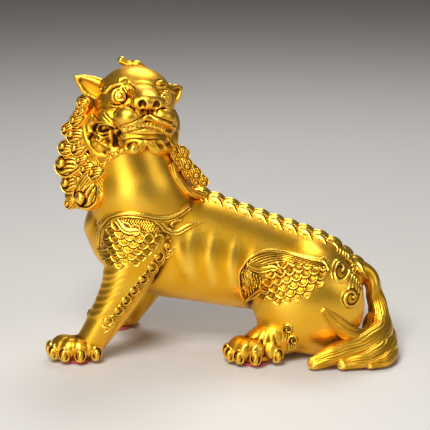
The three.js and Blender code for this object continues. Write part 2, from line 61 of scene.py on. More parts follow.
# The beast's own frame is off the row's by the same step all over, which its left fore pad shows.
PAD_LOW, PAD_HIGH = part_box("felt_pad_left_fore")
SHIFT = np.array([
    (PAD_LOW.x + PAD_HIGH.x) / 2 / MM - FOREPAW["at"][0],
    (PAD_LOW.y + PAD_HIGH.y) / 2 / MM - FOREPAW["at"][1],
    0.0,
])

# The face and the mane are drawn as they look from here, which is also where the camera stands.
LOOK_UP = math.radians(15)
LOOK = np.array([0.0, -math.cos(LOOK_UP), math.sin(LOOK_UP)])


def looked_at(points):
    """Where points lie in that view: along the beast, and up."""
    return np.stack([points[:, 0], points[:, 1] * LOOK[2] - points[:, 2] * LOOK[1]], axis=1)


# Curves and surfaces as arrays

def spline(points, shares):
    """Points and tangents of the uniform Catmull-Rom curve through `points`, at shares of its spans."""
    p = np.asarray(points, float)
    padded = np.vstack([2 * p[0] - p[1], p, 2 * p[-1] - p[-2]])
    s = np.clip(np.asarray(shares, float), 0, 1) * (len(p) - 1)
    i = np.minimum(s.astype(int), len(p) - 2)
    w = (s - i)[:, None]
    before, start, end, after = padded[i], padded[i + 1], padded[i + 2], padded[i + 3]
    leave, arrive = (end - before) / 2, (after - start) / 2
    square = 3 * (end - start) - 2 * leave - arrive
    cube = leave + arrive - 2 * (end - start)
    return start + w * (leave + w * (square + w * cube)), unit(leave + w * (2 * square + 3 * w * cube))


def unit(vectors):
    return vectors / np.maximum(np.linalg.norm(vectors, axis=-1, keepdims=True), 1e-12)


def smoothstep(low, high, values):
    s = np.clip((values - low) / (high - low), 0, 1)
    return s * s * (3 - 2 * s)


def bell(values, width):
    """1 at zero, and falling away over `width` to both sides."""
    return np.exp(-((values / width) ** 2))


def even_path(path, step=0.5):
    """The curve through `path` as points about `step` apart."""
    dense, _ = spline(path, np.linspace(0, 1, 24 * len(path)))
    gone = np.concatenate([[0], np.cumsum(np.linalg.norm(np.diff(dense, axis=0), axis=1))])
    marks = np.linspace(0, gone[-1], max(int(gone[-1] / step), 3) + 1)
    return np.stack([np.interp(marks, gone, column) for column in dense.T], axis=1)


class Skin:
    """A surface as arrays: points in millimetres, and faces that all have three or all have four corners.
    Relief is drawn at `marks`, a flat place for each point, where it is `seen`, and raised by `settle`."""

    PACE = 0.6       # how far a round of smoothing takes a point to the mean of its neighbours
    FADE = 2.4       # where a ridge has faded out, in its half widths

    def __init__(self, points, faces):
        self.points = np.asarray(points, float)
        self.faces = np.asarray(faces, int)
        self.link()
        self.drawn(self.points[:, [0, 2]])

    def drawn(self, marks, seen=1.0):
        """Starts a new drawing."""
        self.marks = marks
        self.seen = seen * np.ones(len(marks))
        self.lift, self.cover = np.zeros((2, len(marks)))

    def link(self):
        corners = self.faces.shape[1]
        count = len(self.points)
        ends = np.concatenate([self.faces[:, [i, (i + 1) % corners]] for i in range(corners)])
        ends.sort(axis=1)
        keys = np.unique(ends[:, 0] * count + ends[:, 1])
        self.edges = np.stack([keys // count, keys % count])
        self.valence = np.maximum(np.bincount(self.edges.ravel(), minlength=count), 1)[:, None]

    def around(self, values):
        """The mean of each point's neighbours."""
        a, b = self.edges
        count = len(self.points)
        columns = [np.bincount(a, v[b], count) + np.bincount(b, v[a], count) for v in values.T]
        return np.stack(columns, axis=1) / self.valence

    def smooth(self, rounds, share=1.0):
        for _ in range(rounds):
            self.points += (self.around(self.points) - self.points) * self.PACE * share
        return self

    def normals(self):
        corner = self.points[self.faces]
        across = np.cross(corner[:, 2] - corner[:, 0], corner[:, -1] - corner[:, 1])
        total = np.zeros_like(self.points)
        for i in range(self.faces.shape[1]):
            for column, part in zip(total.T, across.T):
                column += np.bincount(self.faces[:, i], part, len(self.points))
        return unit(total)

    def along(self, path, reach):
        """The points within `reach` of a path, how far each is to its right and its share of the way."""
        line = even_path(path)
        low, high = line.min(axis=0) - reach, line.max(axis=0) + reach
        near = np.flatnonzero(((self.marks > low) & (self.marks < high)).all(axis=1) & (self.seen > 0))
        place = self.marks[near]
        start, span = line[:-1], np.diff(line, axis=0)
        length = np.maximum((span**2).sum(axis=1), 1e-9)
        best = np.full(len(near), np.inf)
        share, side = np.zeros((2, len(near)))
        for j in range(len(span)):
            away = place - start[j]
            t = np.clip(away @ span[j] / length[j], 0, 1)
            off = away - t[:, None] * span[j]
            far = np.linalg.norm(off, axis=1)
            closer = far < best
            best[closer] = far[closer]
            share[closer] = (j + t[closer]) / len(span)
            side[closer] = np.sign(off[closer] @ (span[j][1], -span[j][0]))
        kept = best < reach
        return near[kept], best[kept] * side[kept], share[kept]

    def ridge(self, path, width, height, ends=0.3):
        """Raises a round ridge along a path, or sinks a groove where `height` is negative."""
        near, off, share = self.along(path, width * self.FADE)
        taper = ends + (1 - ends) * np.sin(share * math.pi) ** 0.5
        self.lift[near] += height * taper * bell(off, width) * self.seen[near]

    def paint(self, near, cover, height):
        """Brings to `height` what `cover`, 0 to 1, takes in."""
        cover = cover * self.seen[near]
        self.cover[near] = np.maximum(self.cover[near], cover)
        self.lift[near] += (height - self.lift[near]) * cover

    def strip(self, path, half, profile, widen=None, soft=0.35):
        """A raised strip. `profile` is its height by the side of the path, -1 to 1, and the share along."""
        near, off, share = self.along(path, half * 1.3 + soft)
        width = half * (widen(share) if widen else np.ones_like(share))
        edge = (share > 0.001) & (share < 0.999)
        cover = (1 - smoothstep(-soft, soft, np.abs(off) - width)) * edge
        self.paint(near, cover, profile(off / np.maximum(width, 0.05), share))

    def depth_in(self, polygon, marks=None):
        """How far each mark lies inside a polygon, negative outside."""
        x, z = (self.marks if marks is None else marks).T
        ring = np.asarray(polygon, float)
        nearest = np.full(x.shape, np.inf)
        inside = np.zeros(x.shape, bool)
        for (ax, az), (bx, bz) in zip(ring, np.roll(ring, -1, axis=0)):
            span = (bx - ax) ** 2 + (bz - az) ** 2
            t = np.clip(((x - ax) * (bx - ax) + (z - az) * (bz - az)) / span, 0, 1)
            nearest = np.minimum(nearest, np.hypot(x - ax - t * (bx - ax), z - az - t * (bz - az)))
            if az != bz:
                inside ^= ((az > z) != (bz > z)) & (x < (bx - ax) * (z - az) / (bz - az) + ax)
        return np.where(inside, nearest, -nearest)

    def patch(self, polygon, height, soft=0.4):
        """Brings a polygon to `height`."""
        self.paint(slice(None), smoothstep(-soft, soft, self.depth_in(polygon)), height)

    def boss(self, at, radius, height):
        """A round knob."""
        far = np.linalg.norm(self.marks - at, axis=1) / radius
        near = np.flatnonzero(far < 1)
        rise = height * np.sqrt(1 - far[near] ** 2) * self.seen[near]
        self.lift[near] = np.maximum(self.lift[near], rise)
        self.cover[near] = self.seen[near]

    def scales(self, polygon, origin, lean, pitch, row):
        """Overlapping round scales with their tips down, in rows that rise at `lean` degrees."""
        c, s = math.cos(math.radians(lean)), math.sin(math.radians(lean))
        x, z = self.marks.T
        a = (x - origin[0]) * c + (z - origin[1]) * s
        b = (x - origin[0]) * s - (z - origin[1]) * c
        radius = pitch * 0.57
        cover, height = np.zeros((2, len(a)))
        shadow = np.full(len(a), np.inf)
        free = np.ones(len(a), bool)
        for step in (-1, 0, 1):
            j = np.floor(b / row) + step
            shift = (j % 2) * 0.5 * pitch
            centre_a = np.round((a - shift) / pitch) * pitch + shift
            centre_b = j * row
            centre = np.stack([
                origin[0] + centre_a * c + centre_b * s, origin[1] + centre_a * s - centre_b * c
            ], axis=1)
            inside = self.depth_in(polygon, centre) > 0
            da, db = a - centre_a, b - centre_b
            far = np.hypot(da, db)
            cover = np.maximum(cover, inside * smoothstep(0, 0.35, radius - far))
            own = inside & free & (far < radius)
            fine = smoothstep(0.2, 0.4, far / radius) * (1 - smoothstep(0.6, 0.72, far / radius))
            barbs = np.cos(13 * np.arctan2(da, db)) * fine
            rise = 0.45 + 0.55 * far / radius + 0.42 * bell(far - 0.86 * radius, 0.36) + 0.2 * barbs
            height = np.where(own, rise - 0.75 * bell(shadow, 0.5), height)
            free &= ~own
            shadow = np.where(inside & free, np.minimum(shadow, far - radius), shadow)
        self.paint(slice(None), cover, height)

    def settle(self):
        """Moves the points out by what has been raised so far."""
        self.points += self.normals() * self.lift[:, None]
        self.lift[:] = 0
        return self


def lock_reach(angle, tail):
    """How far a clump reaches at an angle, in its radii: it is round, and drawn out towards its tail."""
    return 1 + 0.75 * np.clip(np.cos(angle - math.radians(tail)), 0, 1) ** 4


def lock_height(u, v, radius, tail):
    """How high a curled clump stands at u, v: strands come in from its tail and wrap round a bead."""
    turn = math.radians(tail)
    run, aside = u * math.cos(turn) + v * math.sin(turn), v * math.cos(turn) - u * math.sin(turn)
    run, aside = run / radius + 0.3, aside / radius - 0.3
    share = np.hypot(u, v) / radius / lock_reach(np.arctan2(v, u), tail)
    dome = np.sqrt(np.clip(1 - (share / 1.05) ** 2, 0, 1))
    far = np.hypot(run, aside)
    lane = np.hypot(np.minimum(run, 0), aside + 0.28 * np.maximum(run, 0) ** 2)
    strand = np.abs(np.cos(math.pi * lane / 0.36)) ** 0.7 - 0.7
    bead = np.sqrt(np.clip(1 - (far / 0.4) ** 2, 0, 1))
    ring = bell(far - 0.46, 0.08)
    rim = bell(share - 0.9, 0.06) - 0.8 * bell(share - 0.77, 0.06)
    strand *= smoothstep(0.4, 0.55, far) * (1 - smoothstep(0.6, 0.8, share))
    return radius * (0.55 * dome + 0.2 * strand + 0.2 * bead - 0.12 * ring + 0.12 * rim)


class Sheet(Skin):
    """A grid laid on one side of the beast, -1 its left, from a heading `turn` degrees off square. Its
    marks are x and z of the side view, less `step`. What isn't painted stays sunk under the surface."""

    SUNK = 0.8       # how far the grid lies below where it isn't painted
    MIDDLE = 25      # the distance from the beast's middle plane that the grid is aimed at
    FAR = 90         # where the grid comes from, beyond that
    ROOT = 4         # how deep the point lies that closes the back

    def __init__(self, tree, low, high, pitch, side, step, turn=0.0):
        across = np.arange(low[0], high[0] + pitch, pitch)
        up = np.arange(low[1], high[1] + pitch, pitch)
        self.grid = (len(up), len(across))
        heading = Vector((math.sin(math.radians(turn)), -side * math.cos(math.radians(turn)), 0))
        points, found = [], []
        for z in up:
            for x in across:
                aim = Vector((x + step[0], side * self.MIDDLE, z + step[1])) - heading * self.FAR
                hit = tree.ray_cast(aim, heading)[0]
                found.append(hit is not None)
                points.append((hit or tree.find_nearest(aim + heading * (self.FAR - 10))[0])[:])
        k = np.arange(len(up) - 1)[:, None] * len(across) + np.arange(len(across) - 1)
        quads = np.stack([k, k + 1, k + 1 + len(across), k + len(across)], axis=-1).reshape(-1, 4)
        super().__init__(points, quads if side < 0 else quads[:, ::-1])
        self.smooth(4)
        self.drawn(self.points[:, [0, 2]] - step, smoothstep(0.15, 0.35, self.normals() @ -heading) * found)

    def finished(self):
        """Raises what is painted, leaves out what lies far from it, and closes the rest behind."""
        self.lift = self.cover * (self.SUNK + self.lift) - self.SUNK
        wanted = self.cover > 0.02
        for _ in range(3):
            wanted |= self.around(wanted[:, None].astype(float))[:, 0] > 0
        self.settle()
        rows, columns = self.grid
        kept = wanted[self.faces].any(axis=1).reshape(rows - 1, columns - 1)
        for _ in range(4):
            one, two, three, four = kept[:-1, :-1], kept[:-1, 1:], kept[1:, :-1], kept[1:, 1:]
            pinched = (one & four & ~two & ~three) | (two & three & ~one & ~four)
            for corner in (one, two, three, four):
                corner |= pinched
        faces = self.faces[kept.ravel()]
        ends = np.concatenate([faces[:, [i, (i + 1) % 4]] for i in range(4)])
        count = len(self.points)
        keys = ends[:, 0] * count + ends[:, 1]
        rim = ends[~np.isin(keys, ends[:, 1] * count + ends[:, 0])]
        shown = np.unique(faces)
        inner = self.points[shown].mean(axis=0) - self.normals()[shown].mean(axis=0) * self.ROOT
        triangles = np.vstack([
            faces[:, [0, 1, 2]],
            faces[:, [0, 2, 3]],
            np.stack([rim[:, 1], rim[:, 0], np.full(len(rim), count)], axis=1),
        ])
        used, order = np.unique(triangles, return_inverse=True)
        return Skin(np.vstack([self.points, inner])[used], order.reshape(-1, 3))


def turned_out(points, faces):
    """The surface with its faces looking outwards."""
    corner = points[faces]
    volume = np.einsum("ij,ij->i", corner[:, 0], np.cross(corner[:, 1], corner[:, 2])).sum()
    return (points, faces[:, ::-1]) if volume < 0 else (points, faces)


def tube_faces(rings, sides):
    """Triangles of a closed tube: a pole, `rings` rings of `sides` points, and a pole."""
    k = np.arange(sides)
    after = (k + 1) % sides
    near = 1 + np.arange(rings - 1)[:, None] * sides
    a, b = near + k, near + after
    c, d = near + sides + after, near + sides + k
    wall = np.concatenate([
        np.stack([a, b, c], axis=-1).reshape(-1, 3),
        np.stack([a, c, d], axis=-1).reshape(-1, 3),
    ])
    last = 1 + rings * sides
    first_cap = np.stack([np.zeros(sides, int), 1 + after, 1 + k], axis=1)
    last_cap = np.stack([np.full(sides, last), last - sides + k, last - sides + after], axis=1)
    return np.concatenate([first_cap, wall, last_cap])


def limb(stations, sides=32, steps=32, ref=UP, blunt=(0.8, 0.8), caps=6, relief=None):
    """A rounded limb. Each station is x, y, z, half width and half height; the height lies towards `ref`.
    The ends reach out by `blunt` times their mean size, in `caps` rings. `relief` gives how far the skin
    stands out, from the angle round the limb and the share along it."""
    stations = np.asarray(stations, float)
    shares = np.linspace(0, 1, steps + 1)
    centre, heading = spline(stations[:, :3], shares)
    size, _ = spline(stations[:, 3:5], shares)
    turn = (np.arange(caps, 0, -1) / (caps + 1)) * math.pi / 2
    reach = (size[0].mean() * blunt[0], size[-1].mean() * blunt[1])
    centre = np.vstack([
        centre[0] - heading[0] * (reach[0] * np.sin(turn))[:, None],
        centre,
        centre[-1] + heading[-1] * (reach[1] * np.sin(turn[::-1]))[:, None],
    ])
    heading = np.vstack([np.repeat(heading[:1], caps, 0), heading, np.repeat(heading[-1:], caps, 0)])
    size = np.vstack([size[0] * np.cos(turn)[:, None], size, size[-1] * np.cos(turn[::-1])[:, None]])
    shares = np.concatenate([np.zeros(caps), shares, np.ones(caps)])
    ref = np.asarray(ref, float)
    height = unit(ref - heading * (heading @ ref)[:, None])
    width = np.cross(heading, height)
    angle = turns(sides)
    out = (
        width[:, None] * (size[:, :1] * np.cos(angle))[..., None]
        + height[:, None] * (size[:, 1:] * np.sin(angle))[..., None]
    )
    if relief is not None:
        out += unit(out) * relief(angle[None, :], shares[:, None])[..., None]
    rings = centre[:, None] + out
    poles = (centre[:1] - heading[:1] * reach[0] * 0.06, centre[-1:] + heading[-1:] * reach[1] * 0.06)
    points = np.vstack([poles[0], rings.reshape(-1, 3), poles[1]])
    return turned_out(points, tube_faces(len(rings), sides))


def ball(at, radii, around=32, down=20):
    level = (np.arange(1, down) / down)[:, None] * math.pi
    angle = turns(around)
    wide, height = np.sin(level), np.cos(level) + 0 * angle
    points, faces = domed(wide * np.cos(angle), wide * np.sin(angle), height, [], 1, (0, 0, 1))
    return points * radii + at, faces


def domed(u, v, height, back, root, peak=None):
    """A closed surface that faces +Z. `u`, `v` and `height` are rings from its middle out, `back` is the
    size and the depth of rings behind, next to the last one in front, and `root` is how low it ends."""
    face = np.stack([u, v, height], axis=-1)
    behind = [face[-1] * (share, share, 0) + (0, 0, -fall) for share, fall in back]
    peak = face[0].mean(axis=0) if peak is None else peak
    points = np.vstack([peak, face.reshape(-1, 3), *behind, [0, 0, -root]])
    return turned_out(points, tube_faces(len(face) + len(back), face.shape[1]))


def turns(count):
    """Even angles, once round."""
    return np.arange(count) / count * 2 * math.pi


def mirrored(surface, setback=0.0):
    """The same on the other side of the beast, further back."""
    points, faces = surface
    return points * (1, -1, 1) + (setback, 0, 0), faces[:, ::-1]


def placed(surface, matrix):
    """A surface taken through a matrix."""
    points, faces = surface
    matrix = np.array(matrix)
    return points @ matrix[:3, :3].T + matrix[:3, 3], faces


def gathered(surfaces):
    """Several surfaces as one."""
    points, faces, count = [], [], 0
    for some_points, some_faces in surfaces:
        points.append(some_points)
        faces.append(some_faces + count)
        count += len(some_points)
    return np.vstack(points), np.vstack(faces)


# Blender objects

def mesh_object(name, points, faces):
    """An object of the given points, already in metres and in the row's frame."""
    corners = faces.shape[1]
    mesh = bpy.data.meshes.new(name)
    mesh.vertices.add(len(points))
    mesh.vertices.foreach_set("co", np.ascontiguousarray(points, np.float32).ravel())
    mesh.loops.add(faces.size)
    mesh.loops.foreach_set("vertex_index", np.ascontiguousarray(faces, np.int32).ravel())
    mesh.polygons.add(len(faces))
    mesh.polygons.foreach_set("loop_start", np.arange(0, faces.size, corners, dtype=np.int32))
    mesh.update(calc_edges=True)
    mesh.validate()
    piece = bpy.data.objects.new(name, mesh)
    bpy.context.scene.collection.objects.link(piece)
    return piece


def alone(piece):
    bpy.ops.object.select_all(action="DESELECT")
    piece.select_set(True)
    bpy.context.view_layer.objects.active = piece


def with_modifier(piece, kind, **settings):
    modifier = piece.modifiers.new(kind.title(), kind)
    for name, value in settings.items():
        setattr(modifier, name, value)
    alone(piece)
    bpy.ops.object.modifier_apply(modifier=modifier.name)
    return piece


def arrays_of(piece):
    mesh = piece.data
    points = np.empty(len(mesh.vertices) * 3, np.float32)
    mesh.vertices.foreach_get("co", points)
    corners = np.empty(len(mesh.loops), np.int32)
    mesh.loops.foreach_get("vertex_index", corners)
    return points.reshape(-1, 3).astype(float), corners.reshape(len(mesh.polygons), -1)


def fused(surfaces, voxel, pits=()):
    """One skin round closed surfaces that overlap, less the pits cut into them."""
    piece = mesh_object("fused", *gathered(surfaces))
    with_modifier(piece, "REMESH", mode="VOXEL", voxel_size=voxel)
    if pits:
        cutter = mesh_object("cutter", *gathered(pits))
        with_modifier(cutter, "REMESH", mode="VOXEL", voxel_size=voxel)
        with_modifier(piece, "BOOLEAN", operation="DIFFERENCE", solver="MANIFOLD", object=cutter)
        with_modifier(piece, "REMESH", mode="VOXEL", voxel_size=voxel)
        bpy.data.objects.remove(cutter)
    points, faces = arrays_of(piece)
    bpy.data.objects.remove(piece)
    return Skin(points, faces)


# Rounds of blurring that give a point's surroundings, and the depth in millimetres that counts as full. The
# brass darkens with this depth, as patina and as painted shade.
HOLLOWS = {
    "body": ((4, 0.5), (18, 1.6)), "plain": ((3, 0.35), (14, 1.1)), "sheet": ((2, 0.16), (9, 0.55)),
    "locks": ((2, 0.16), (9, 0.6)), "claws": ((2, 0.16), (6, 0.5)),
}


def add_hollows(piece, skin, scales):
    """Writes how deep each point lies below its surroundings as the attribute `hollow`, 0 to 1."""
    normals, pace = skin.normals(), 0.8
    depth = np.zeros(len(skin.points))
    blurred = skin.points.copy()
    done = 0
    for rounds, scale in scales:
        for _ in range(rounds - done):
            blurred += (skin.around(blurred) - blurred) * pace
        done = rounds
        below = ((blurred - skin.points) * normals).sum(axis=1) / scale
        depth = np.maximum(depth, 0) + below
    attribute = piece.data.attributes.new("hollow", "FLOAT", "POINT")
    attribute.data.foreach_set("value", np.clip(0.5 + depth * 0.5, 0, 1).astype(np.float32))


def brass_piece(name, skin, hollows="plain"):
    piece = mesh_object(name, (skin.points + SHIFT) * MM, skin.faces)
    add_hollows(piece, skin, HOLLOWS[hollows])
    alone(piece)
    bpy.ops.object.shade_smooth()
    piece.data.materials.append(BRASS)
    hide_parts("beast_casting")
    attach(piece, "root")


# The body

def body_masses():
    barrel = [
        (74, 0, 38, 13, 12), (62, 0, 41.5, 22, 20), (46, 0, 44, 26, 23.5), (26, 0, 47.5, 26.5, 27),
        (6, 0, 52.5, 27, 29.5), (-14, 0, 58, 28, 31.5), (-34, 0, 63, 29, 33), (-51, 0, 70, 28, 29.5),
        (-63, 0, 77, 22, 23.5), (-70, 0, 81, 14, 17.5),
    ]
    neck = [
        (-38, 0, 62, 27, 27), (-45, -2, 82, 28, 30), (-48, -4, 95, 27, 27.5), (-51, -5, 108, 24, 23.5),
        (-54, -7, 122, 20, 20), (-53, -8, 134, 17, 18),
    ]
    thigh = [
        (45, -8, 57, 11, 14), (47, -14.5, 48, 16.5, 24), (48, -20, 38, 19.5, 31), (48, -21, 25, 19, 31.5),
        (47, -21, 14, 16, 26), (45, -21, 7, 10, 17),
    ]
    far_shoulder = [(-46, -12, 75, 7, 11), *FORELEG[1:4]]
    haunch = limb(thigh, 48, 40, ref=AFT, blunt=(0.4, 0.4))
    shank = limb(SHANK[:3], 32, 20)
    return [
        limb(barrel, 64, 60, blunt=(0.6, 0.35)),
        limb(neck, 56, 40, ref=AFT, caps=2),
        haunch,
        mirrored(haunch),
        shank,
        mirrored(shank, SETBACK["hind"]),
        limb(FORELEG[:4], 40, 24, ref=AFT),
        mirrored(limb(far_shoulder, 40, 24, ref=AFT), SETBACK["fore"]),
    ]


FORELEG = [
    (-45, -13, 88, 9, 15), (-47.5, -19, 77, 13, 19.5), (-49, -22.5, 65, 14, 18.5),
    (-53, -25, 53, 12.5, 14.5), (-58, -26.5, 41, 11, 10.8), (-64.5, -27.5, 29, 9.8, 8.9),
    (-71, -28, 17, 9.5, 8.4), (-75.5, -28.5, 9, 9, 8.5),
]
FIN = [(-33, -21, 65, 4, 5), (-41, -23.5, 53, 4.6, 5.4), (-48, -25.5, 42, 4.8, 5.6),
       (-54.5, -26.5, 32, 5, 5.4), (-61.5, -27.5, 22, 5, 5), (-68.5, -28, 12, 5, 4.5),
       (-73.5, -28, 5, 4.5, 4)]
SHANK = [(42, -22, 20, 14, 17), (35, -25, 16, 12.5, 14), (27, -29, 13, 11, 11), (19, -31.5, 10.5, 9.5, 8)]


def toe_path(paw, bearing):
    """A toe's stations, and where its claw sits."""
    (x, y), (ahead, aside), instep = paw["at"], paw["reach"], paw["instep"]

    def station(share, height, *size):
        angle = math.radians(bearing)
        ahead_of, aside_of = ahead * share * math.cos(angle), aside * share * math.sin(angle)
        return (x - ahead_of, y - aside_of, SOLE + height, *size)

    return [
        station(0.3, instep * 0.74, 3.8, 3.6),
        station(0.68, instep * 0.68, 4.9, 4.6),
        station(0.9, instep * 0.46, 4.6, 4.4),
        station(1.0, 4.8, 3.5, 3.6),
    ], station(1.12, 5.1)


def paw_masses(paw):
    (x, y), (ahead, aside), instep = paw["at"], paw["reach"], paw["instep"]
    masses = [ball((x, y, SOLE + instep * 0.42), (ahead * 0.85, aside * 0.9, instep * 0.6))]
    for bearing in paw["bearings"]:
        masses.append(limb(toe_path(paw, bearing)[0], 16, 16, blunt=(0.8, 0.5)))
    return masses


def claw_surface():
    """A claw seen end on under its hood, facing +Z with its top towards +X, and its root behind."""
    tall, wide = 4.7, 3.6
    far = np.linspace(0.04, 1, 16)[:, None]
    u, v = far * np.cos(turns(32)), far * np.sin(turns(32))
    upper = smoothstep(-0.8, -0.2, u)
    hood = bell(far - 0.85, 0.1) * upper
    groove = bell(far - 0.64, 0.1) * (0.3 + 0.7 * upper)
    nail = np.sqrt(np.clip(1 - (v / 0.42) ** 2 - ((u + 0.3) / 0.68) ** 2, 0, 1))
    height = 2.2 * np.sqrt(1 - (far / 1.02) ** 2) + 1.1 * hood - 0.9 * groove + 1.1 * nail
    return domed(u * tall, v * wide, height, [(1.02, 0.4), (0.9, 2), (0.5, 4)], 5)


def claw_skin():
    claws = []
    for paw, setback in ((FOREPAW, SETBACK["fore"]), (HINDPAW, SETBACK["hind"])):
        for bearing in paw["bearings"]:
            angle = math.radians(bearing)
            facing = (-math.cos(angle), -math.sin(angle) - 0.6, 0.1)
            claw = set_on(claw_surface(), toe_path(paw, bearing)[1], facing)
            claws += [claw, mirrored(claw, setback)]
    return above_sole(Skin(*gathered(claws)))


def above_sole(skin):
    """Flattens what reaches below the soles."""
    skin.points[:, 2] = np.maximum(skin.points[:, 2], SOLE)
    return skin


def tail_skins():
    stem = [
        (68, 0, 45, 9, 9), (79.5, -1, 44.5, 6, 5.8), (85.5, -2, 37, 5.5, 5), (88.5, -4, 28, 6, 5.2),
        (90, -7, 19, 8, 6), (90.5, -11, 12, 9, 7.5),
    ]
    locks = [
        [(89, -10, 15, 8, 7.5), (86, -25, 12.5, 8.5, 7), (74, -37, 10.5, 7, 6.5), (61, -43, 8, 5.5, 5.5),
         (51, -46, 4.5, 4, 3.6)],
        [(91, -12, 9, 8, 7), (89.5, -28, 7.5, 8.5, 6.5), (80, -41, 5.5, 6.5, 5.5),
         (67, -46.5, 3.6, 3.6, 3)],
        [(92, -14, 6, 6, 5), (93.5, -30, 5, 5, 4.5), (89, -41, 4, 4.5, 4), (82, -46, 2.8, 2.4, 2.2)],
        [(84, -26, 12, 4, 5), (73, -35, 16, 3.8, 4.8), (64, -39, 24.5, 3, 4), (56, -40, 32, 1.6, 2.2)],
    ]

    def strands(sway, onset=0.0):
        """Hair that sways as it runs, after knobs up to the share `onset`."""
        def relief(angle, share):
            clump = np.abs(np.sin(2.5 * angle + sway * np.sin(share * 7))) - 0.6
            wave = 12 * angle + sway * 4 * np.sin(share * 7) + 0.5 * np.sin(share * 23)
            grown = smoothstep(onset - 0.01, onset + 0.3, share)
            knobs = 0.7 * np.sin(share * 17 + 2 * np.sin(angle)) * (1 - grown)
            return (0.6 * clump + 0.35 * (np.abs(np.sin(wave)) - 0.5)) * grown + knobs
        return relief

    skins = [limb(stem, 112, 72, ref=AFT, relief=strands(0.5, 0.45))]
    for i, lock in enumerate(locks):
        skins.append(limb(lock, 112, 72, blunt=(0.8, 1.2), relief=strands(0.35 + 0.1 * i)))
    return [above_sole(Skin(*skin)) for skin in skins]


# The crest

# Leaves stand on the base line: how far along and up, and sizes. Flames and sparks hang on their flanks.
CREST = {
    "count": 12,
    "base": [(-17, 92.5), (5, 83.5), (28, 75), (50, 67), (62, 61.5), (72, 53.5), (80, 46.5)],
    "leaf": [(-5.2, -0.9, 1.2, 0.9), (-2.8, 0.2, 2.9, 1.9), (0.6, 0.9, 3.9, 2.3), (3.8, 0.9, 2.9, 1.7),
             (6.6, 0.3, 0.5, 0.5)],
    "flame": [(-3, 0.6, 1.2, 1.2), (-0.2, 0.2, 2, 1.9), (2.2, -1.8, 2.1, 1.9), (3.6, -4.4, 1.5, 1.4),
              (5.6, -6.6, 0.5, 0.5)],
    "spark": [(-2.4, -2.4, 0.8, 0.9), (-0.6, -3.4, 1.4, 1.3), (0.4, -5.4, 1.1, 1.1), (2.2, -7.4, 0.4, 0.4)],
    "flank": 4.6,
    "sunk": 0.8,
}


def leaf_relief(angle, share):
    """A sharp rib along the top, and a groove to each side of it."""
    grooves = bell(np.abs(np.cos(angle)) - 0.55, 0.12) * (np.sin(angle) > 0)
    return 0.55 * np.cos(angle - math.pi / 2) ** 24 - 0.35 * grooves


def crest_skins():
    line = even_path([(x, 0, z) for x, z in CREST["base"]], 0.1)
    leaves, flames = [], []
    for i in range(CREST["count"]):
        here = int((i + 0.5) / CREST["count"] * (len(line) - 1))
        x, _, z = line[here]
        ahead, _, rise = unit(line[here + 1] - line[here - 1])
        leaves.append(limb([
            (x + along * ahead - lift * rise, -CREST["sunk"], z + along * rise + lift * ahead, *size)
            for along, lift, *size in CREST["leaf"]
        ], 24, 20, relief=leaf_relief))
        for part in ("flame", "spark"):
            hook = limb([
                (x + along, drop * 0.85 - CREST["flank"], z + along * rise + drop * 0.5, *size)
                for along, drop, *size in CREST[part]
            ], 14, 14, caps=3, relief=lambda angle, share: 0.3 * np.cos(3 * angle + 4 * share))
            flames += [hook, mirrored(hook)]
    return Skin(*gathered(leaves)), Skin(*gathered(flames))


# The mane

# Each ring of the ruff is x, y, z, and its reach along the beast and across
RUFF = [
    (-54.5, 3, 142, 24, 21), (-57, 3, 131, 27, 24), (-58.5, 3, 119.5, 29, 26), (-58.5, 2, 107.5, 31, 27),
    (-55.5, 1, 95.5, 34, 28),
]
FORELOCK = [(-71, -15, 106, 5, 7), (-75, -14, 98, 8, 7), (-76, -13, 93, 6, 5.5)]
COLLAR = [(-11, -8, 90.5, 2, 2), (-18.5, -13, 93.5, 2.4, 2.4), (-25, -17, 101, 2, 2),
          (-29, -16, 110, 1.6, 1.6)]


def clump(radius, tail, depth):
    """A curled clump in the XY plane, facing +Z, with a back that tapers to a root `depth` behind."""
    angle = turns(48)
    far = np.linspace(0.03, 1.0, 22)[:, None] * radius * lock_reach(angle, tail)
    u, v = far * np.cos(angle), far * np.sin(angle)
    back = [(1.02, 0.15 * radius), (0.95, 0.6 * radius), (0.65, 1.1 * radius)]
    return domed(u, v, lock_height(u, v, radius, tail), back, depth)


def set_on(surface, at, facing):
    """Turns what faces +Z to another heading, with its +X as near to up as that leaves."""
    z = unit(np.array(facing, float))
    x = unit(UP - z * z[2])
    points, faces = surface
    return points @ np.stack([x, np.cross(z, x), z]) + at, faces


# Clumps in view: x, how far up they look to be, radius and, in the first table, their tail's bearing
LOCKS = [
    (-77.7, 135.5, 2.6, 30), (-78.9, 131.3, 2.8, 50), (-81.3, 126.2, 3.6, 40), (-86.4, 121.6, 3.6, 50),
    (-82.4, 118.2, 4.6, 25), (-87.8, 111.6, 4.3, 20), (-80.5, 110.9, 4.3, 40), (-87.4, 101.8, 6.4, 25),
    (-79, 104.4, 3.2, 40), (-76, 99.4, 3.6, 40), (-71, 97.2, 4, 35), (-85.6, 91.6, 5.2, 40),
    (-75.8, 85.2, 7.6, 80), (-86.2, 80.6, 3, 60), (-66.5, 101.8, 2, 30), (-63, 105, 1.8, 30),
    (-59.8, 107.2, 1.9, 30), (-56.6, 108.9, 1.8, 20), (-79, 94, 3.6, 50), (-80.8, 88.6, 3, 50),
    (-78.5, 114.5, 2.8, 60),
]
COLLAR_LOCKS = [
    (-27.5, 112, 2.8), (-26, 106.5, 2.6), (-21.5, 108.5, 2.8), (-20.5, 102.5, 3.4), (-15.5, 97.5, 3.4),
    (-11, 93, 2.8), (-24.5, 101.5, 2.6), (-20, 97, 2.6), (-15.5, 93, 2.4), (-29.5, 117.5, 2.4),
]


def in_view(x, up, y):
    """The place that looks to be at x and up from the view of the drawings, at the given y."""
    return (x, y, (up - y * LOOK[2]) / -LOOK[1])


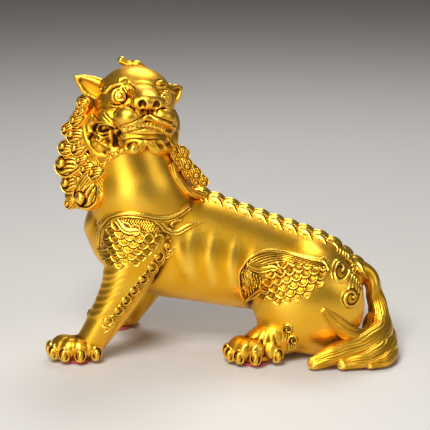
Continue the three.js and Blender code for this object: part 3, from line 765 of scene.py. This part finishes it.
def lock_skins():
    """The clumps in view, placed one by one."""
    clumps = []
    for x, up, radius, tail in LOCKS:
        y = -9 - (x + 90) * 0.62
        roll = clump(radius * 1.12, tail - 90, radius * 2.6)
        clumps.append(set_on(roll, in_view(x, up, y), (-0.35, -0.9, 0.28)))
    for x, up, radius in COLLAR_LOCKS:
        roll = clump(radius * 1.1, 30, radius * 3)
        clumps.append(set_on(roll, in_view(x, up, -13 + 0.2 * (x + 28)), (0.4, -0.85, 0.35)))
    return Skin(*gathered(clumps))


def mane_skin():
    """The ruff under them, covered all over with clumps."""
    depth, radius, reach, apart = 2.6, 6.4, 12, 21
    skin = Skin(*limb([(x, y, z, ry - depth, rx - depth) for x, y, z, rx, ry in RUFF], 320, 96, ref=AFT,
                      blunt=(0.35, 0.45), caps=10))
    normals = skin.normals()
    skin.lift = 0.35 * np.abs(np.sin(skin.points[:, 0] * 1.9 + skin.points[:, 2] * 1.1)) - 0.2
    levels = [(height, 1.0) for height in np.arange(RUFF[-1][2] - 8, RUFF[0][2] + 1, 9)]
    for number, (height, share) in enumerate([*levels, (147, 0.6), (149, 0.15)]):
        x, y, _, rx, ry = min(RUFF, key=lambda ring: abs(ring[2] - height))
        for bearing in np.arange(-30, 215, apart / share**0.6):
            angle = math.radians(bearing + apart / 2 * (number % 2))
            spot = (x + share * rx * math.cos(angle), y + share * ry * math.sin(angle), height)
            at = int(np.argmin(np.linalg.norm(skin.points - spot, axis=1)))
            out = normals[at]
            right = unit(np.cross(UP, out))
            away = skin.points - skin.points[at]
            near = np.flatnonzero((np.abs(away).max(axis=1) < reach) & (normals @ out > 0.2))
            u, v = away[near] @ right, away[near] @ np.cross(out, right)
            rise = lock_height(u, v, radius, 50 if bearing > 90 else 130)
            skin.lift[near] = np.maximum(skin.lift[near], rise)
    return skin.settle()


def combed(angle, share):
    """Fine strands that flatten out towards the tip."""
    strands = np.abs(np.sin(15 * angle + 5 * share + 1.4 * np.sin(7 * share + 2 * angle)))
    return (1 - 0.9 * share**6) * (0.4 * strands - 0.3)


def fringe_skins():
    """The combed lock in front of the mane, and the collar strand behind it."""
    return Skin(*gathered([
        limb(FORELOCK, 120, 50, ref=LEFT, blunt=(0.8, 1.1), caps=12, relief=combed),
        limb(COLLAR, 40, 60, relief=lambda angle, share: 0.4 * np.abs(np.sin(3 * angle + 9 * share)) - 0.2),
    ]))


# The head, in its own frame: +X its right side, +Y the way it faces, +Z its crown

JAW = [(21.5, -5, 3, 1.0, 1.6), (25.5, -5, -3, 1.3, 2), (27.5, -5, -11, 1.5, 2.4), (26, -3, -19, 1.7, 2.6),
       (21.5, 0.5, -25.5, 1.9, 2.6), (15.5, 5, -27, 1.3, 1.8)]
BEARD = [(1.5, 27, -18, 1.4, 1.6), (4, 26, -20.5, 2, 2), (7, 24.5, -22.5, 2.6, 2.4),
         (9.5, 22.5, -21.5, 1.4, 1.4)]
HORN = [(-5, -5, 22.5, 2.4, 1.8), (-1.5, -6, 24.5, 3, 2.2), (2.5, -7, 24.3, 2, 1.8),
        (7, -8, 26.2, 2.6, 2.5)]
NOSE = [(0, 15, 9, 8.5, 4), (0, 22, 7.2, 8, 4.4), (0, 27.5, 5.6, 7.6, 4.6), (0, 31.5, 4, 7.4, 4.4)]
MOUTH = [(-11, 26, -11.4, 6, 1.2), (-5, 29, -9.8, 6, 2), (0, 30, -8.6, 6, 2.4), (5, 29, -9.8, 6, 2),
         (11, 26, -11.4, 6, 1.2)]
EYES = [(12.9, 18.8, 6.2), (-12.9, 18.8, 6.2)]
# Each ear's side, root and tip, and its stations: their share of the way, how far forward and up, and sizes
EARS = [(1, (18, -3, 8.5), (33.5, -7, 16.5)), (-1, (18, -3, 7.5), (28.5, -7, 12.5))]
EAR = [(0, 0, 0, 3.5, 6.6), (0.45, 0, -0.8, 3, 6.2), (0.75, 0, -0.2, 2, 3.8), (1, 0, 0, 0.7, 0.7)]
EAR_PIT = [(0.1, 3.4, -2.6, 2.4, 3.6), (0.45, 3, -1.8, 2.3, 4), (0.8, 2, -0.6, 1.6, 1.9)]


def head_matrix():
    """From the head's own frame to the beast's."""
    turn = Matrix.Rotation(math.pi + math.radians(HEAD["turn"]), 4, "Z")
    tip = Matrix.Rotation(math.radians(HEAD["tip"]), 4, "X")
    lean = Matrix.Rotation(math.radians(-HEAD["lean"]), 4, "Y")
    return Matrix.Translation(HEAD["at"]) @ turn @ tip @ lean


# Balls of the head's halves: where they lie and their radii
HALVES = [
    (13.5, 3, -7, 10, 12.5, 10), (16, -3, -10, 11, 7, 14), (16, 2, -17, 9, 8, 9), (11, 5, -21, 9, 8, 6),
    (12.5, 8, -14, 7, 7, 7), (8.8, 26.2, -4.6, 8, 7.4, 6.4), (5, 30.4, 3, 4.6, 4, 3.8),
    (12.9, 15, 6, 4.4, 3.6, 4.2),
]


def head_skin():
    skull = [
        ball((0, -1, 2.5), (22.5, 21, 21), 56, 36),
        ball((0, 9.5, 8), (13, 10.5, 9)),
        ball((0, 19, -6), (16, 12, 9)),
        ball((0, 15, -17), (14.5, 13, 6.5)),
        limb(NOSE, 28, 20),
        limb(HORN, 24, 24),
    ]
    pits = [limb(MOUTH, 24, 24, caps=3)]
    for side, narrow in ((1, 1.0), (-1, 0.84)):
        skull += [ball((side * x, y, z), radii) for x, y, z, *radii in HALVES]
        skull += [
            limb([(side * narrow * x, *rest) for x, *rest in JAW], 20, 36, ref=(0, 1, 0)),
            limb([(side * x, *rest) for x, *rest in BEARD], 20, 36),
        ]
        pits.append(ball((side * 3.9, 34.4, 2.2), (2.2, 2.8, 2.6)))
    for side, root, tip in EARS:
        root, tip = np.array(root), np.array(tip)

        def ear_part(stations, sides, steps, caps):
            line = []
            for share, forward, up, *size in stations:
                x, y, z = root + (tip - root) * share
                line.append((side * x, y + forward, z + up, *size))
            return limb(line, sides, steps, caps=caps)

        skull.append(ear_part(EAR, 24, 24, 6))
        pits.append(ear_part(EAR_PIT, 16, 12, 3))
    skin = fused(skull, HEAD_VOXEL, pits).smooth(2)
    skin.points, _ = placed((skin.points, skin.faces), HEAD_FRAME)
    return skin


# Ridges and grooves of the face, by their half width and height, drawn as they look
FACE_STROKES = {
    (0.8, 1.6): [[(-63.1, 142.2), (-61, 144.3), (-58.4, 144.9), (-54.9, 145.4), (-53.4, 146.6)]],
    (0.6, 1.2): [
        [(-53.4, 146.6), (-53.5, 148.2), (-55.8, 148.2), (-56.7, 147)],
        [(-63.1, 142.2), (-65.2, 141), (-66.8, 142.4), (-65.8, 144.2), (-64.4, 143.8)],
        [(-59, 121.8), (-63, 123.2), (-67.4, 123.4), (-70.1, 121.8), (-67.9, 119.2), (-62, 119.4)],
    ],
    (0.8, 1.1): [
        [(-60.6, 141.7), (-57.2, 142.8), (-53.7, 143.9), (-50.5, 142)],
        [(-36.3, 143.9), (-31.6, 143.3), (-28.2, 141.6)],
        [(-59.5, 120.2), (-55.1, 120.6), (-49.6, 121.8), (-44.2, 124.8), (-40.1, 127.8), (-36, 125.5),
         (-30.5, 123.4), (-25.8, 121.8)],
        [(-41.5, 114.4), (-42.5, 111.4), (-46.6, 108.4), (-49.6, 108.1)],
        [(-37.4, 114.4), (-36.8, 111.7), (-34.6, 109.5)],
        [(-33.9, 115.2), (-32.6, 112.5), (-30.5, 110.3)],
    ],
    (1.1, 1.5): [[(-36, 146.6), (-33.9, 146.9), (-31.9, 145.3), (-29.2, 143.9), (-27.3, 142.5)]],
    (0.4, 0.8): [
        [(-55.7, 142.9), (-53.6, 139.9)],
        [(-54.2, 143.3), (-51.8, 139.5)],
        [(-52.8, 143.9), (-50.5, 139.3)],
    ],
    (1.1, 1.3): [[(-56.5, 117.4), (-49.6, 118.6), (-40.1, 118.8), (-33.3, 119.2), (-28.6, 119.4)]],
    (0.7, 0.9): [
        [(-55.8, 113.9), (-53.7, 111.8), (-52.1, 109.5)],
        [(-30.5, 116.6), (-28.9, 113.9), (-27, 111.7)],
    ],
    (0.6, 0.9): [
        [(-74.5, 120.4), (-70.4, 119.1), (-66.8, 116.6), (-63, 117.1)],
        [(-73.1, 116.3), (-68.8, 114.4), (-65.2, 111.7)],
    ],
    (0.8, -1.0): [[(-63.2, 140.8), (-60.5, 142.6), (-56.5, 143.3)]],
    (0.4, -0.6): [
        [(-51.8, 146.4), (-49.4, 144), (-47.6, 141.9)],
        [(-72, 129.6), (-69.4, 127.4), (-67, 125.6)],
        [(-66.4, 129.1), (-64.2, 126.8), (-61.8, 124.5)],
        [(-64.6, 129.9), (-62.4, 127.6), (-60, 125.4)],
        [(-59.8, 128), (-58.4, 125.6), (-56.6, 122.8)],
    ],
    (0.4, -0.4): [[(-52.1, 137.6), (-49.2, 139.3), (-48.4, 136.7), (-48.6, 133), (-46.6, 130)]],
    (0.45, -0.6): [
        [(-61.9, 134.9), (-57.8, 133.8), (-53.7, 134.9)],
        [(-58.9, 125.9), (-59.5, 129.2), (-57.8, 131.6), (-54, 132.8), (-49.6, 131.9), (-46.9, 129.4),
         (-45, 126.7)],
        [(-36.8, 128.3), (-34.6, 130.8), (-30.5, 131.6), (-26.4, 129.7)],
    ],
    (0.4, -0.5): [[(-62.5, 133.2), (-58.1, 132.2), (-54.3, 133)]],
    (0.5, -0.9): [[(-40.5, 130.5), (-40.2, 127.5)]],
    (0.5, -0.5): [
        [(-57, 122), (-55.1, 122.1), (-49.6, 123.3), (-44.9, 126), (-40.9, 128.7)],
        [(-39.3, 128.7), (-36, 127), (-30.5, 124.9), (-26.4, 123.6)],
    ],
    (0.5, -0.8): [[(-55.1, 114.7), (-48.3, 115.4), (-40.1, 115), (-31.9, 115.8)]],
    (1.3, -1.5): [[(-60.8, 120.5), (-60, 115.5), (-59.5, 110.5)]],
}
CHEEK = [(-74.2, 123.4), (-70.8, 124.5), (-63.3, 123.4), (-55.8, 120), (-55.8, 116.6), (-53.7, 113.6),
         (-57.8, 110.5), (-65.3, 108.7), (-70.8, 111.8), (-73.5, 116.6)]
BEADS = [(-65.2, 142.6, 0.8), (-55, 147, 0.8), (-34.8, 146.2, 1.5), (-66.7, 121, 1.1),
         (-67.9, 115.5, 1.3), (-58.9, 116.3, 1.4), (-48.6, 110.5, 2.2)]


def carve_face(skin):
    """Draws the face on the side that is seen, and a groove round each eye."""
    seen = smoothstep(0.0, 0.2, skin.normals() @ LOOK)
    skin.drawn(looked_at(skin.points), seen)
    skin.patch(CHEEK, -1.7, 1.4)
    for (width, height), paths in FACE_STROKES.items():
        for path in paths:
            skin.ridge(path, width, height)
    for x, up, radius in BEADS:
        far = np.linalg.norm(skin.marks - (x, up), axis=1) / radius
        skin.lift += seen * (0.5 * radius * bell(far, 1) - 0.35 * bell(far - 1.4, 0.3))
    for eye in EYES:
        far = np.linalg.norm(skin.points - (HEAD_FRAME @ Vector(eye)), axis=1)
        skin.lift -= 0.9 * bell(far - 3.9, 0.7)
    return skin.settle()


def eye_surface():
    """An eyeball with a ring and a round pupil, facing +Z at the origin."""
    profile = [(0.9, -0.02), (1.25, -0.2), (1.45, -0.6), (1.75, -0.65), (2.1, -0.3), (2.5, -0.2),
               (2.85, -0.5), (3.15, -1.2), (3.25, -3.0), (2.0, -4.4)]
    angle = turns(48)
    far, height = np.array(profile).T[..., None]
    return domed(far * np.cos(angle), far * np.sin(angle), height + 0 * angle, [], 4.8, (0, 0, 0.05))


def teeth_surface():
    """A gum with a row of teeth in the open mouth, and a longer one at each end."""
    parts = [limb([(-10, 21, -11, 3, 3), (0, 24, -10, 3, 4), (10, 21, -11, 3, 3)], 20, 24)]
    for across in np.arange(-0.9, 1, 0.2):
        size = (1.1, 1.2, 2.4) if abs(across) > 0.8 else (1.3, 0.8, 1.7)
        parts.append(ball((10.8 * across, 27.8 - 4 * across**2, -8.4 - 2.2 * across**2), size, 14, 10))
    return gathered(parts)


# Materials

class Value:
    """A number's socket, with the arithmetic that builds Math nodes."""

    def __init__(self, tree, socket):
        self.tree, self.socket = tree, socket

    def math(self, operation, other, clamp=False):
        node = self.tree.nodes.new("ShaderNodeMath")
        node.operation, node.use_clamp = operation, clamp
        self.tree.links.new(self.socket, node.inputs[0])
        if isinstance(other, Value):
            self.tree.links.new(other.socket, node.inputs[1])
        else:
            node.inputs[1].default_value = other
        return Value(self.tree, node.outputs[0])

    def __add__(self, other):
        return self.math("ADD", other)

    def __mul__(self, other):
        return self.math("MULTIPLY", other)

    def __sub__(self, other):
        return self.math("SUBTRACT", other)

    def clamped(self):
        return self.math("ADD", 0.0, clamp=True)


class Finish:
    """A material and the nodes that make it."""

    def __init__(self, name):
        self.material = bpy.data.materials.new(name)
        self.material.use_nodes = True
        self.tree = self.material.node_tree

    def feed(self, node, **inputs):
        """Sets or links a node's inputs, each named with underscores for its spaces."""
        for name, value in inputs.items():
            socket = node.inputs[name.replace("_", " ")]
            if isinstance(value, (Value, bpy.types.NodeSocket)):
                self.tree.links.new(getattr(value, "socket", value), socket)
            else:
                socket.default_value = value

    def node(self, kind, **inputs):
        node = self.tree.nodes.new("ShaderNode" + kind)
        self.feed(node, **inputs)
        return node

    def made(self, **inputs):
        self.feed(self.tree.nodes["Principled BSDF"], **inputs)
        return self.material

    def noise(self, scale, detail=2.0, roughness=0.5):
        place = self.node("TexCoord").outputs["Object"]
        node = self.node("TexNoise", Vector=place, Scale=scale, Detail=detail, Roughness=roughness)
        return Value(self.tree, node.outputs["Fac"])

    def attribute(self, name):
        node = self.node("Attribute")
        node.attribute_name = name
        return Value(self.tree, node.outputs["Fac"])

    def ramp(self, value, stops):
        node = self.node("ValToRGB", Fac=value)
        elements = node.color_ramp.elements
        for _ in stops[2:]:
            elements.new(1.0)
        for element, (place, colour) in zip(elements, stops):
            element.position, element.color = place, (*colour, 1)
        return node.outputs["Color"]

    def bump(self, height, strength, distance):
        return self.node("Bump", Height=height, Strength=strength, Distance=distance).outputs["Normal"]


def polished_brass():
    """Gold where it is rubbed, and darker and rougher in the hollows, where the darkness is partly patina and
    partly painted shade.
    """
    finish = Finish("polished_brass")
    stain, wear = finish.noise(60, 4), finish.noise(900, 3)
    # Darkening by hollow depth: partly the brass's patina, partly painted shade where shade falls in recesses
    # and gaps
    patina_and_painted_shade = (finish.attribute("hollow") + (stain - 0.5) * 0.25).clamped()
    colour = finish.ramp(patina_and_painted_shade, [
        (0.30, (1.0, 0.63, 0.08)), (0.53, (0.86, 0.43, 0.014)), (0.66, (0.40, 0.155, 0.008)),
        (0.80, (0.045, 0.016, 0.003)),
    ])
    rough = (patina_and_painted_shade * 0.28 + 0.25 + (wear - 0.5) * 0.14).clamped()
    normal = finish.bump(finish.noise(120, 2) * 0.7 + wear * 0.05, 0.12, 0.002)
    return finish.made(Base_Color=colour, Metallic=1.0, Roughness=rough, Normal=normal)


def red_felt():
    finish = Finish("red_felt")
    fuzz = finish.noise(2500, 4, 0.7)
    tone = (fuzz * 0.6 + finish.noise(400, 2) * 0.4).clamped()
    colour = finish.ramp(tone, [(0.3, (0.28, 0.008, 0.012)), (0.7, (0.72, 0.03, 0.035))])
    return finish.made(Base_Color=colour, Roughness=0.95, Sheen_Weight=0.6, Sheen_Roughness=0.6,
                       Normal=finish.bump(fuzz, 0.6, 0.0006))


# Relief on the flanks, drawn as x and z of the side view

SHOULDER = {
    "band": [(-69.4, 64), (-68.8, 68.6), (-68, 73), (-66.9, 76.6), (-62.7, 81.8), (-57, 84.6),
             (-50.2, 85.3), (-42.2, 84.2), (-37, 82.8), (-30.5, 82.2), (-25.1, 83.4), (-21.5, 85),
             (-18.5, 86.8)],
    "branches": [
        [(-60.5, 83), (-57.3, 80.2), (-54.9, 77.6), (-52, 76.5), (-48.8, 76.6), (-46, 76.6), (-43, 76.2)],
        [(-38, 82.8), (-34.6, 79.6), (-31.8, 76.2), (-28, 74.3), (-24.5, 74.4), (-21, 76.2), (-17, 77.6),
         (-11, 78.4)],
    ],
    "hook": [(-23, 80.6), (-26.6, 80), (-28.7, 78.8), (-28.2, 77.3), (-26.4, 77.3)],
    "scales": [(-71, 74), (-71, 56), (-60, 57.5), (-52, 57.5), (-47, 58.5), (-43, 60.5), (-38.5, 64.5),
               (-35, 69), (-33, 71), (-38, 73.5), (-44, 76.5), (-52, 79), (-59, 84), (-66, 79)],
    "stipple": [(-57, 83.2), (-50, 83.6), (-42, 82.2), (-36, 80), (-32.5, 75.5), (-29, 71), (-33, 70.5),
                (-38, 73.5), (-44, 75.5), (-52, 78)],
}
WING = {
    "outline": [(12.3, 31.3), (10, 37.6), (8.7, 45.5), (9, 51.3), (11.8, 55.8), (15.8, 59.8), (21.8, 62),
                (27.5, 62.3), (34.7, 60.9), (42.7, 59.4), (50.4, 58.4), (56.1, 56.8), (58.5, 53)],
    "inner": [(52, 52), (45, 51), (38, 52), (32, 51.5), (26, 48), (23.5, 44), (22.5, 40), (17, 36)],
    "scales": [(59, 55), (54, 49), (51, 46), (46, 42), (40, 39), (34, 37.5), (28, 36.5), (22, 37),
               (20.5, 40), (22, 46), (24, 52), (31, 57), (38, 59), (46, 58), (52, 57)],
    "vane": [(12.5, 54), (15.8, 59), (21.8, 61.4), (27.5, 61.8), (34.7, 60.4), (42.7, 58.9), (50.4, 57.9),
             (56.1, 56.3), (58, 54.2), (53, 54.2), (47, 55.2), (40, 56.6), (33, 56.4), (26, 55.2),
             (20, 53.5)],
    "leaf": [(13.2, 56), (16, 53.6), (20.6, 52.2), (24.6, 52.7), (28, 53.4), (31, 52.2), (33.6, 50.6)],
    "low_leaf": [(11.2, 31.2), (15.4, 34.8), (18.6, 38), (21, 40.2), (24.6, 41.2)],
    "feathers": [
        [(14.6, 58), (20, 60.4), (28, 60.9), (42, 58.6), (57, 56)],
        [(16, 57.4), (21, 59.4), (29, 60), (42, 57.8), (57.4, 55.4)],
        [(18, 56.8), (23, 58.4), (30, 59), (42, 57), (57.6, 54.9)],
        [(21, 56.2), (25, 57.3), (31, 58), (42, 56.3), (55, 54.6)],
        [(25, 56), (32, 57), (42, 55.6), (50, 54.8)],
    ],
}
# Strokes of a curl, in units of its size: half width, height, and the path ahead and to the left
WAVE = [
    (0.28, 0.7, [(-1.3, 2.2), (0.2, 2.9), (2, 2.8), (3.4, 2.2), (4.1, 1.5)]),
    (0.24, 0.7, [(0, 2.4), (1.6, 2.2), (2.8, 1.6), (3.6, 0.9)]),
    (0.24, 0.7, [(0.9, 1.9), (1.9, 1.6), (2.8, 1), (3.3, 0.3)]),
    (0.24, 0.7, [(1.5, 1.3), (2.2, 0.9), (2.9, 0.1)]),
    (0.24, 0.7, [(1.6, 0.6), (2.1, 0.1), (2.5, -0.6)]),
    (0.3, 1.1, [(0.8, 0.1), (1.2, 0.9), (0.7, 1.7), (-0.5, 1.9), (-1.6, 1.3), (-1.9, 0.1), (-1.4, -1.1)]),
]
VOLUTE = [
    (0.14, 0.9, [(-0.3, 0.7), (-0.1, 1.2), (0.2, 1.8), (0.6, 2.2)]),
    (0.14, 0.9, [(0.1, 0.75), (0.2, 1.1), (0.5, 1.7), (0.9, 2.2)]),
    (0.14, 0.9, [(0.45, 0.5), (0.5, 0.9), (0.75, 1.5), (1.2, 2.2)]),
    (0.14, 0.9, [(0.72, 0.2), (0.75, 0.7), (1, 1.4), (1.5, 2.1)]),
    (0.17, 1.4, [(0.1, -0.1), (0.3, 0.15), (0.1, 0.5), (-0.4, 0.45), (-0.65, -0.1), (-0.35, -0.7),
                 (0.35, -0.75), (0.85, -0.25), (1, 0.5), (1.2, 1.3), (1.8, 2)]),
]
LEG_CURLS = [(-31.2, 67), (-36.8, 61.8), (-40.6, 55.8), (-45.6, 49.4), (-50.7, 43.2), (-55.2, 37.6),
             (-59.4, 31.6), (-65.3, 26)]


def pointed(share):
    """How wide a strip is at a share of its way, where it tapers at both ends."""
    return 0.25 + 0.75 * np.sin(np.clip(share * 1.05, 0, 1) * math.pi) ** 0.6


def tipped(share):
    """The same, where it tapers at its far end."""
    return 1 - 0.85 * smoothstep(0.7, 1.0, share)


def bold_band(side, share):
    """The section of a band with a groove off its middle."""
    return 1.5 - 0.5 * side**2 - 0.7 * bell(side - 0.3, 0.16)


def shoulder_sheet(tree, side, step):
    sheet = Sheet(tree, (-74, 53), (-9, 93), 0.32, side, step, 22)
    x, z = sheet.marks.T
    stipple = 0.6 + 0.3 * np.cos(x * 4.4 + 1.5 * np.cos(z * 1.9)) * np.cos(z * 4.1)
    sheet.patch(SHOULDER["stipple"], stipple)
    sheet.scales(SHOULDER["scales"], (-50.6, 64), -10, 5.3, 3.35)
    for branch in SHOULDER["branches"]:
        sheet.strip(branch, 1.8, bold_band, tipped)
    sheet.strip(SHOULDER["hook"], 0.9, lambda side, share: 1.3 * np.ones_like(side), tipped)
    sheet.strip(SHOULDER["band"], 2.1, bold_band)
    return sheet.finished()


def wing_sheet(tree, side, step):
    sheet = Sheet(tree, (7, 29.5), (60.5, 64.5), 0.3, side, step)
    x, z = sheet.marks.T
    barbs = 0.9 * bell(np.cos(x * 1.9 + 0.9 * np.sin(z * 0.8)), 0.4)
    broken = smoothstep(-0.5, 0.3, np.cos(z * 1.25 + 2 * np.round(x / 1.65)))
    sheet.patch(WING["outline"] + WING["inner"], barbs * broken)
    sheet.scales(WING["scales"], (30, 48), 17, 5.4, 3.3)
    sheet.patch(WING["vane"], 1.15)
    for feather in WING["feathers"]:
        sheet.ridge(feather, 0.26, -0.8, 1)
    sheet.strip(WING["leaf"], 1.9, bold_band, pointed)
    sheet.strip(WING["low_leaf"], 1.5, bold_band, pointed)
    sheet.strip(WING["outline"], 0.8, lambda side, share: 1.4 - 0.5 * side**2)
    return sheet.finished()


def curl(sheet, strokes, at, size, heading):
    """Strips laid as `strokes` say round a place, with their heading in degrees."""
    turn = math.radians(heading)
    run, out = np.array((math.cos(turn), math.sin(turn))), np.array((-math.sin(turn), math.cos(turn)))
    for half, height, path in strokes:
        sheet.strip([at + size * (a * run + b * out) for a, b in path], half * size,
                    lambda side, share: height * (1 - 0.6 * side**2), tipped, 0.25)


def volutes(sheet, curls, heading):
    for x, z, radius in curls:
        sheet.boss((x, z), radius * 1.05, 0.5)
        curl(sheet, VOLUTE, np.array((x, z)), radius, heading)
    return sheet.finished()


def rump_sheet(tree, side, step):
    sheet = Sheet(tree, (56, 29), (81, 62), 0.32, side, step, -20)
    sheet.seen *= smoothstep(0.15, 0.35, side * sheet.normals()[:, 1])
    return volutes(sheet, [(65.5, 52, 5.6), (71.3, 38.3, 6)], 0)


def hock_sheet(tree, side, step):
    sheet = Sheet(tree, (26, 3), (50, 30), 0.3, side, step)
    return volutes(sheet, [(36, 21.4, 3.4), (38.8, 14.6, 3.4)], 195)


def leg_sheet(tree, side, step):
    sheet = Sheet(tree, (-74, 14), (-24, 75), 0.3, side, step, -15)
    middle = [(x + 1.6, z - 1.3) for x, z in LEG_CURLS]
    sheet.strip(middle, 3.2, lambda side, share: 0.1 + 0 * side, lambda share: np.sin(share * math.pi)**0.3)
    for x, z in LEG_CURLS:
        at = np.array((x, z))
        curl(sheet, WAVE, at, 1.75, 231)
        sheet.boss(at, 1.7, 1.2)
    return sheet.finished()


# Making it all

BRASS = polished_brass()
FELT = red_felt()
HEAD_FRAME = head_matrix()
BODY_VOXEL, LIMB_VOXEL, HEAD_VOXEL = 1.25, 0.64, 0.48
# In the side view: the paths of ribs, the toe ends of tendons and the fronts of wrinkles
RIBS = [[(-17, 74), (-18.5, 60), (-17, 45)], [(-5, 71), (-7, 57), (-5, 42)], [(7, 67), (5, 54), (6, 40)],
        [(-24, 70), (-23, 60), (-20, 50)], [(18, 63), (15, 53), (14, 44)]]
TENDONS = [(11, 12), (16, 11), (21, 10.5), (27, 10.5), (31, 12)]
WRINKLES = [(-68.5, 50), (-69.4, 46.6), (-70.8, 42.4), (-71.9, 38.7), (-73, 35), (-75.2, 30.5),
            (-77.4, 26.5)]


def make_body():
    skin = fused(body_masses(), BODY_VOXEL)
    top = smoothstep(44, 58, skin.points[:, 2]) * smoothstep(18, 30, skin.points[:, 0])
    ankle = smoothstep(34, 24, skin.points[:, 2]) * smoothstep(45, 32, np.abs(skin.points[:, 0] - 28))
    skin.smooth(4).smooth(20, np.maximum(top, ankle)[:, None])
    skin.drawn(skin.points[:, [0, 2]])
    for rib in RIBS:
        skin.ridge(rib, 2.6, 0.7)
    brass_piece("body", above_sole(skin.settle()), "body")
    return skin


def leg_strokes(name):
    """The relief of a leg: each stroke's half width, height and path."""
    if name == "foreleg":
        paths = [[(x - 4, z - 1.5), (x, z), (x + 8, z + 2.8), (x + 17, z + 8)] for x, z in WRINKLES]
        return [(1.4, 0.42, path) for path in paths]
    paths = [[(25 + 0.4 * (x - 22), 20), (24 + 0.7 * (x - 22), z + 4), (x, z)] for x, z in TENDONS]
    return [(0.9, 0.5, path) for path in paths]


def make_legs():
    legs = []
    fore = [limb(FORELEG, 40, 60, ref=AFT), limb(FIN, 24, 40, ref=AFT), *paw_masses(FOREPAW)]
    hind = [limb(SHANK, 32, 24), *paw_masses(HINDPAW)]
    for side in ("left", "right"):
        for name, masses, setback in (("foreleg", fore, SETBACK["fore"]), ("hind_foot", hind, SETBACK["hind"])):
            step = 0.0
            if side == "right":
                masses, step = [mirrored(mass, setback) for mass in masses], setback
            skin = above_sole(fused(masses, LIMB_VOXEL).smooth(2))
            skin.drawn(skin.points[:, [0, 2]] - (step, 0))
            for width, height, path in leg_strokes(name):
                skin.ridge(path, width, height)
            brass_piece(f"{name}_{side}", skin.settle())
            legs.append(skin)
    return legs


def make_relief(skins):
    points, faces = gathered([(skin.points, skin.faces) for skin in skins])
    tree = BVHTree.FromPolygons(points.tolist(), faces.tolist())
    for side, sign, fore, hind in (("left", -1, 0.0, 0.0), ("right", 1, SETBACK["fore"], SETBACK["hind"])):
        for name, sheet, step in (
            ("shoulder_relief", shoulder_sheet, (fore / 2, -fore / 5)),
            ("leg_curls", leg_sheet, (fore, 0.0)),
            ("wing", wing_sheet, (0.0, 0.0)),
            ("rump_curls", rump_sheet, (0.0, 0.0)),
            ("hock_curls", hock_sheet, (hind, 0.0)),
        ):
            brass_piece(f"{name}_{side}", sheet(tree, sign, step), "sheet")


def make_pad(name):
    low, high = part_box(name)
    bpy.ops.mesh.primitive_cylinder_add(
        vertices=48, radius=(high.x - low.x) / 2, depth=high.z - low.z, location=(low + high) / 2
    )
    pad = bpy.context.object
    pad.name = name + "_felt"
    bpy.ops.object.transform_apply(location=True, rotation=True, scale=True)
    with_modifier(pad, "BEVEL", width=0.3 * MM, segments=3)
    bpy.ops.object.shade_smooth_by_angle(angle=math.radians(40))
    pad.data.materials.append(FELT)
    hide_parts(name)
    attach(pad, "root")


make_relief([make_body(), *make_legs()])
for number, tail_skin in enumerate(tail_skins()):
    brass_piece("tail_stem" if number == 0 else f"tail_lock_{number}", tail_skin)
brass_piece("claws", claw_skin(), "claws")
for name, skin in zip(("crest_leaves", "crest_flames"), crest_skins()):
    brass_piece(name, skin)
brass_piece("mane", mane_skin())
brass_piece("mane_locks", lock_skins(), "locks")
brass_piece("mane_fringe", fringe_skins())
brass_piece("head", carve_face(head_skin()))
eyes = gathered([set_on(eye_surface(), eye, (math.copysign(0.35, eye[0]), 1, 0.05)) for eye in EYES])
brass_piece("eyes", Skin(*placed(eyes, HEAD_FRAME)))
brass_piece("teeth", Skin(*placed(teeth_surface(), HEAD_FRAME)))
for pad_name in ("felt_pad_left_fore", "felt_pad_right_fore", "felt_pad_left_hind", "felt_pad_right_hind"):
    make_pad(pad_name)


# Floor, camera and light, in metres

LAMP_AIM = 0.08


def make_stage():
    bpy.ops.mesh.primitive_plane_add(size=6, location=(0, 0, 0))
    floor = bpy.context.object
    floor.name = "floor"
    floor.data.materials.append(Finish("pale_floor").made(Base_Color=(0.62, 0.6, 0.57, 1), Roughness=0.6))


def aimed(name, data, location, back):
    """A lamp or a camera that looks away from `back`."""
    item = bpy.data.objects.new(name, data)
    item.location = location
    item.rotation_euler = (-back).to_track_quat("-Z", "Y").to_euler()
    bpy.context.scene.collection.objects.link(item)
    return item


def make_camera():
    """The photo's camera, with its focal length and the picture's side in pixels."""
    distance, focal, picture_side = 900 * MM, 1576.0, 430.0
    target = (Vector((-4.6, 0, 76.9)) + Vector(SHIFT)) * MM
    data = bpy.data.cameras.new("camera")
    data.sensor_width = 36
    data.lens = focal / picture_side * data.sensor_width
    back = Vector(LOOK)
    bpy.context.scene.camera = aimed("camera", data, target + back * distance, back)


def make_lamp(name, bearing, height, distance, size, watts):
    """A square soft lamp: `bearing` is 0 in front of the beast's left side and 90 towards its tail, and
    `height` is its angle above the floor."""
    angle, level = math.radians(bearing), math.radians(height)
    away = Vector((math.sin(angle) * math.cos(level), -math.cos(angle) * math.cos(level), math.sin(level)))
    data = bpy.data.lights.new(name, "AREA")
    data.size, data.energy = size, watts
    aimed(name, data, away * distance + Vector((0, 0, LAMP_AIM)), away)


bpy.context.scene.view_settings.view_transform = "Standard"
make_stage()
make_camera()
for lamp in (
    ("key", -22, 50, 0.9, 0.4, 8.5), ("fill", 60, 25, 1.1, 0.6, 1.6), ("rim", 170, 55, 1.0, 0.5, 5),
    ("low", -28, 8, 0.9, 0.45, 2.0),
):
    make_lamp(*lamp)
world = bpy.data.worlds.new("surroundings")
world.use_nodes = True
backdrop = world.node_tree.nodes["Background"].inputs
backdrop["Color"].default_value, backdrop["Strength"].default_value = (0.5, 0.47, 0.44, 1), 0.19
bpy.context.scene.world = world
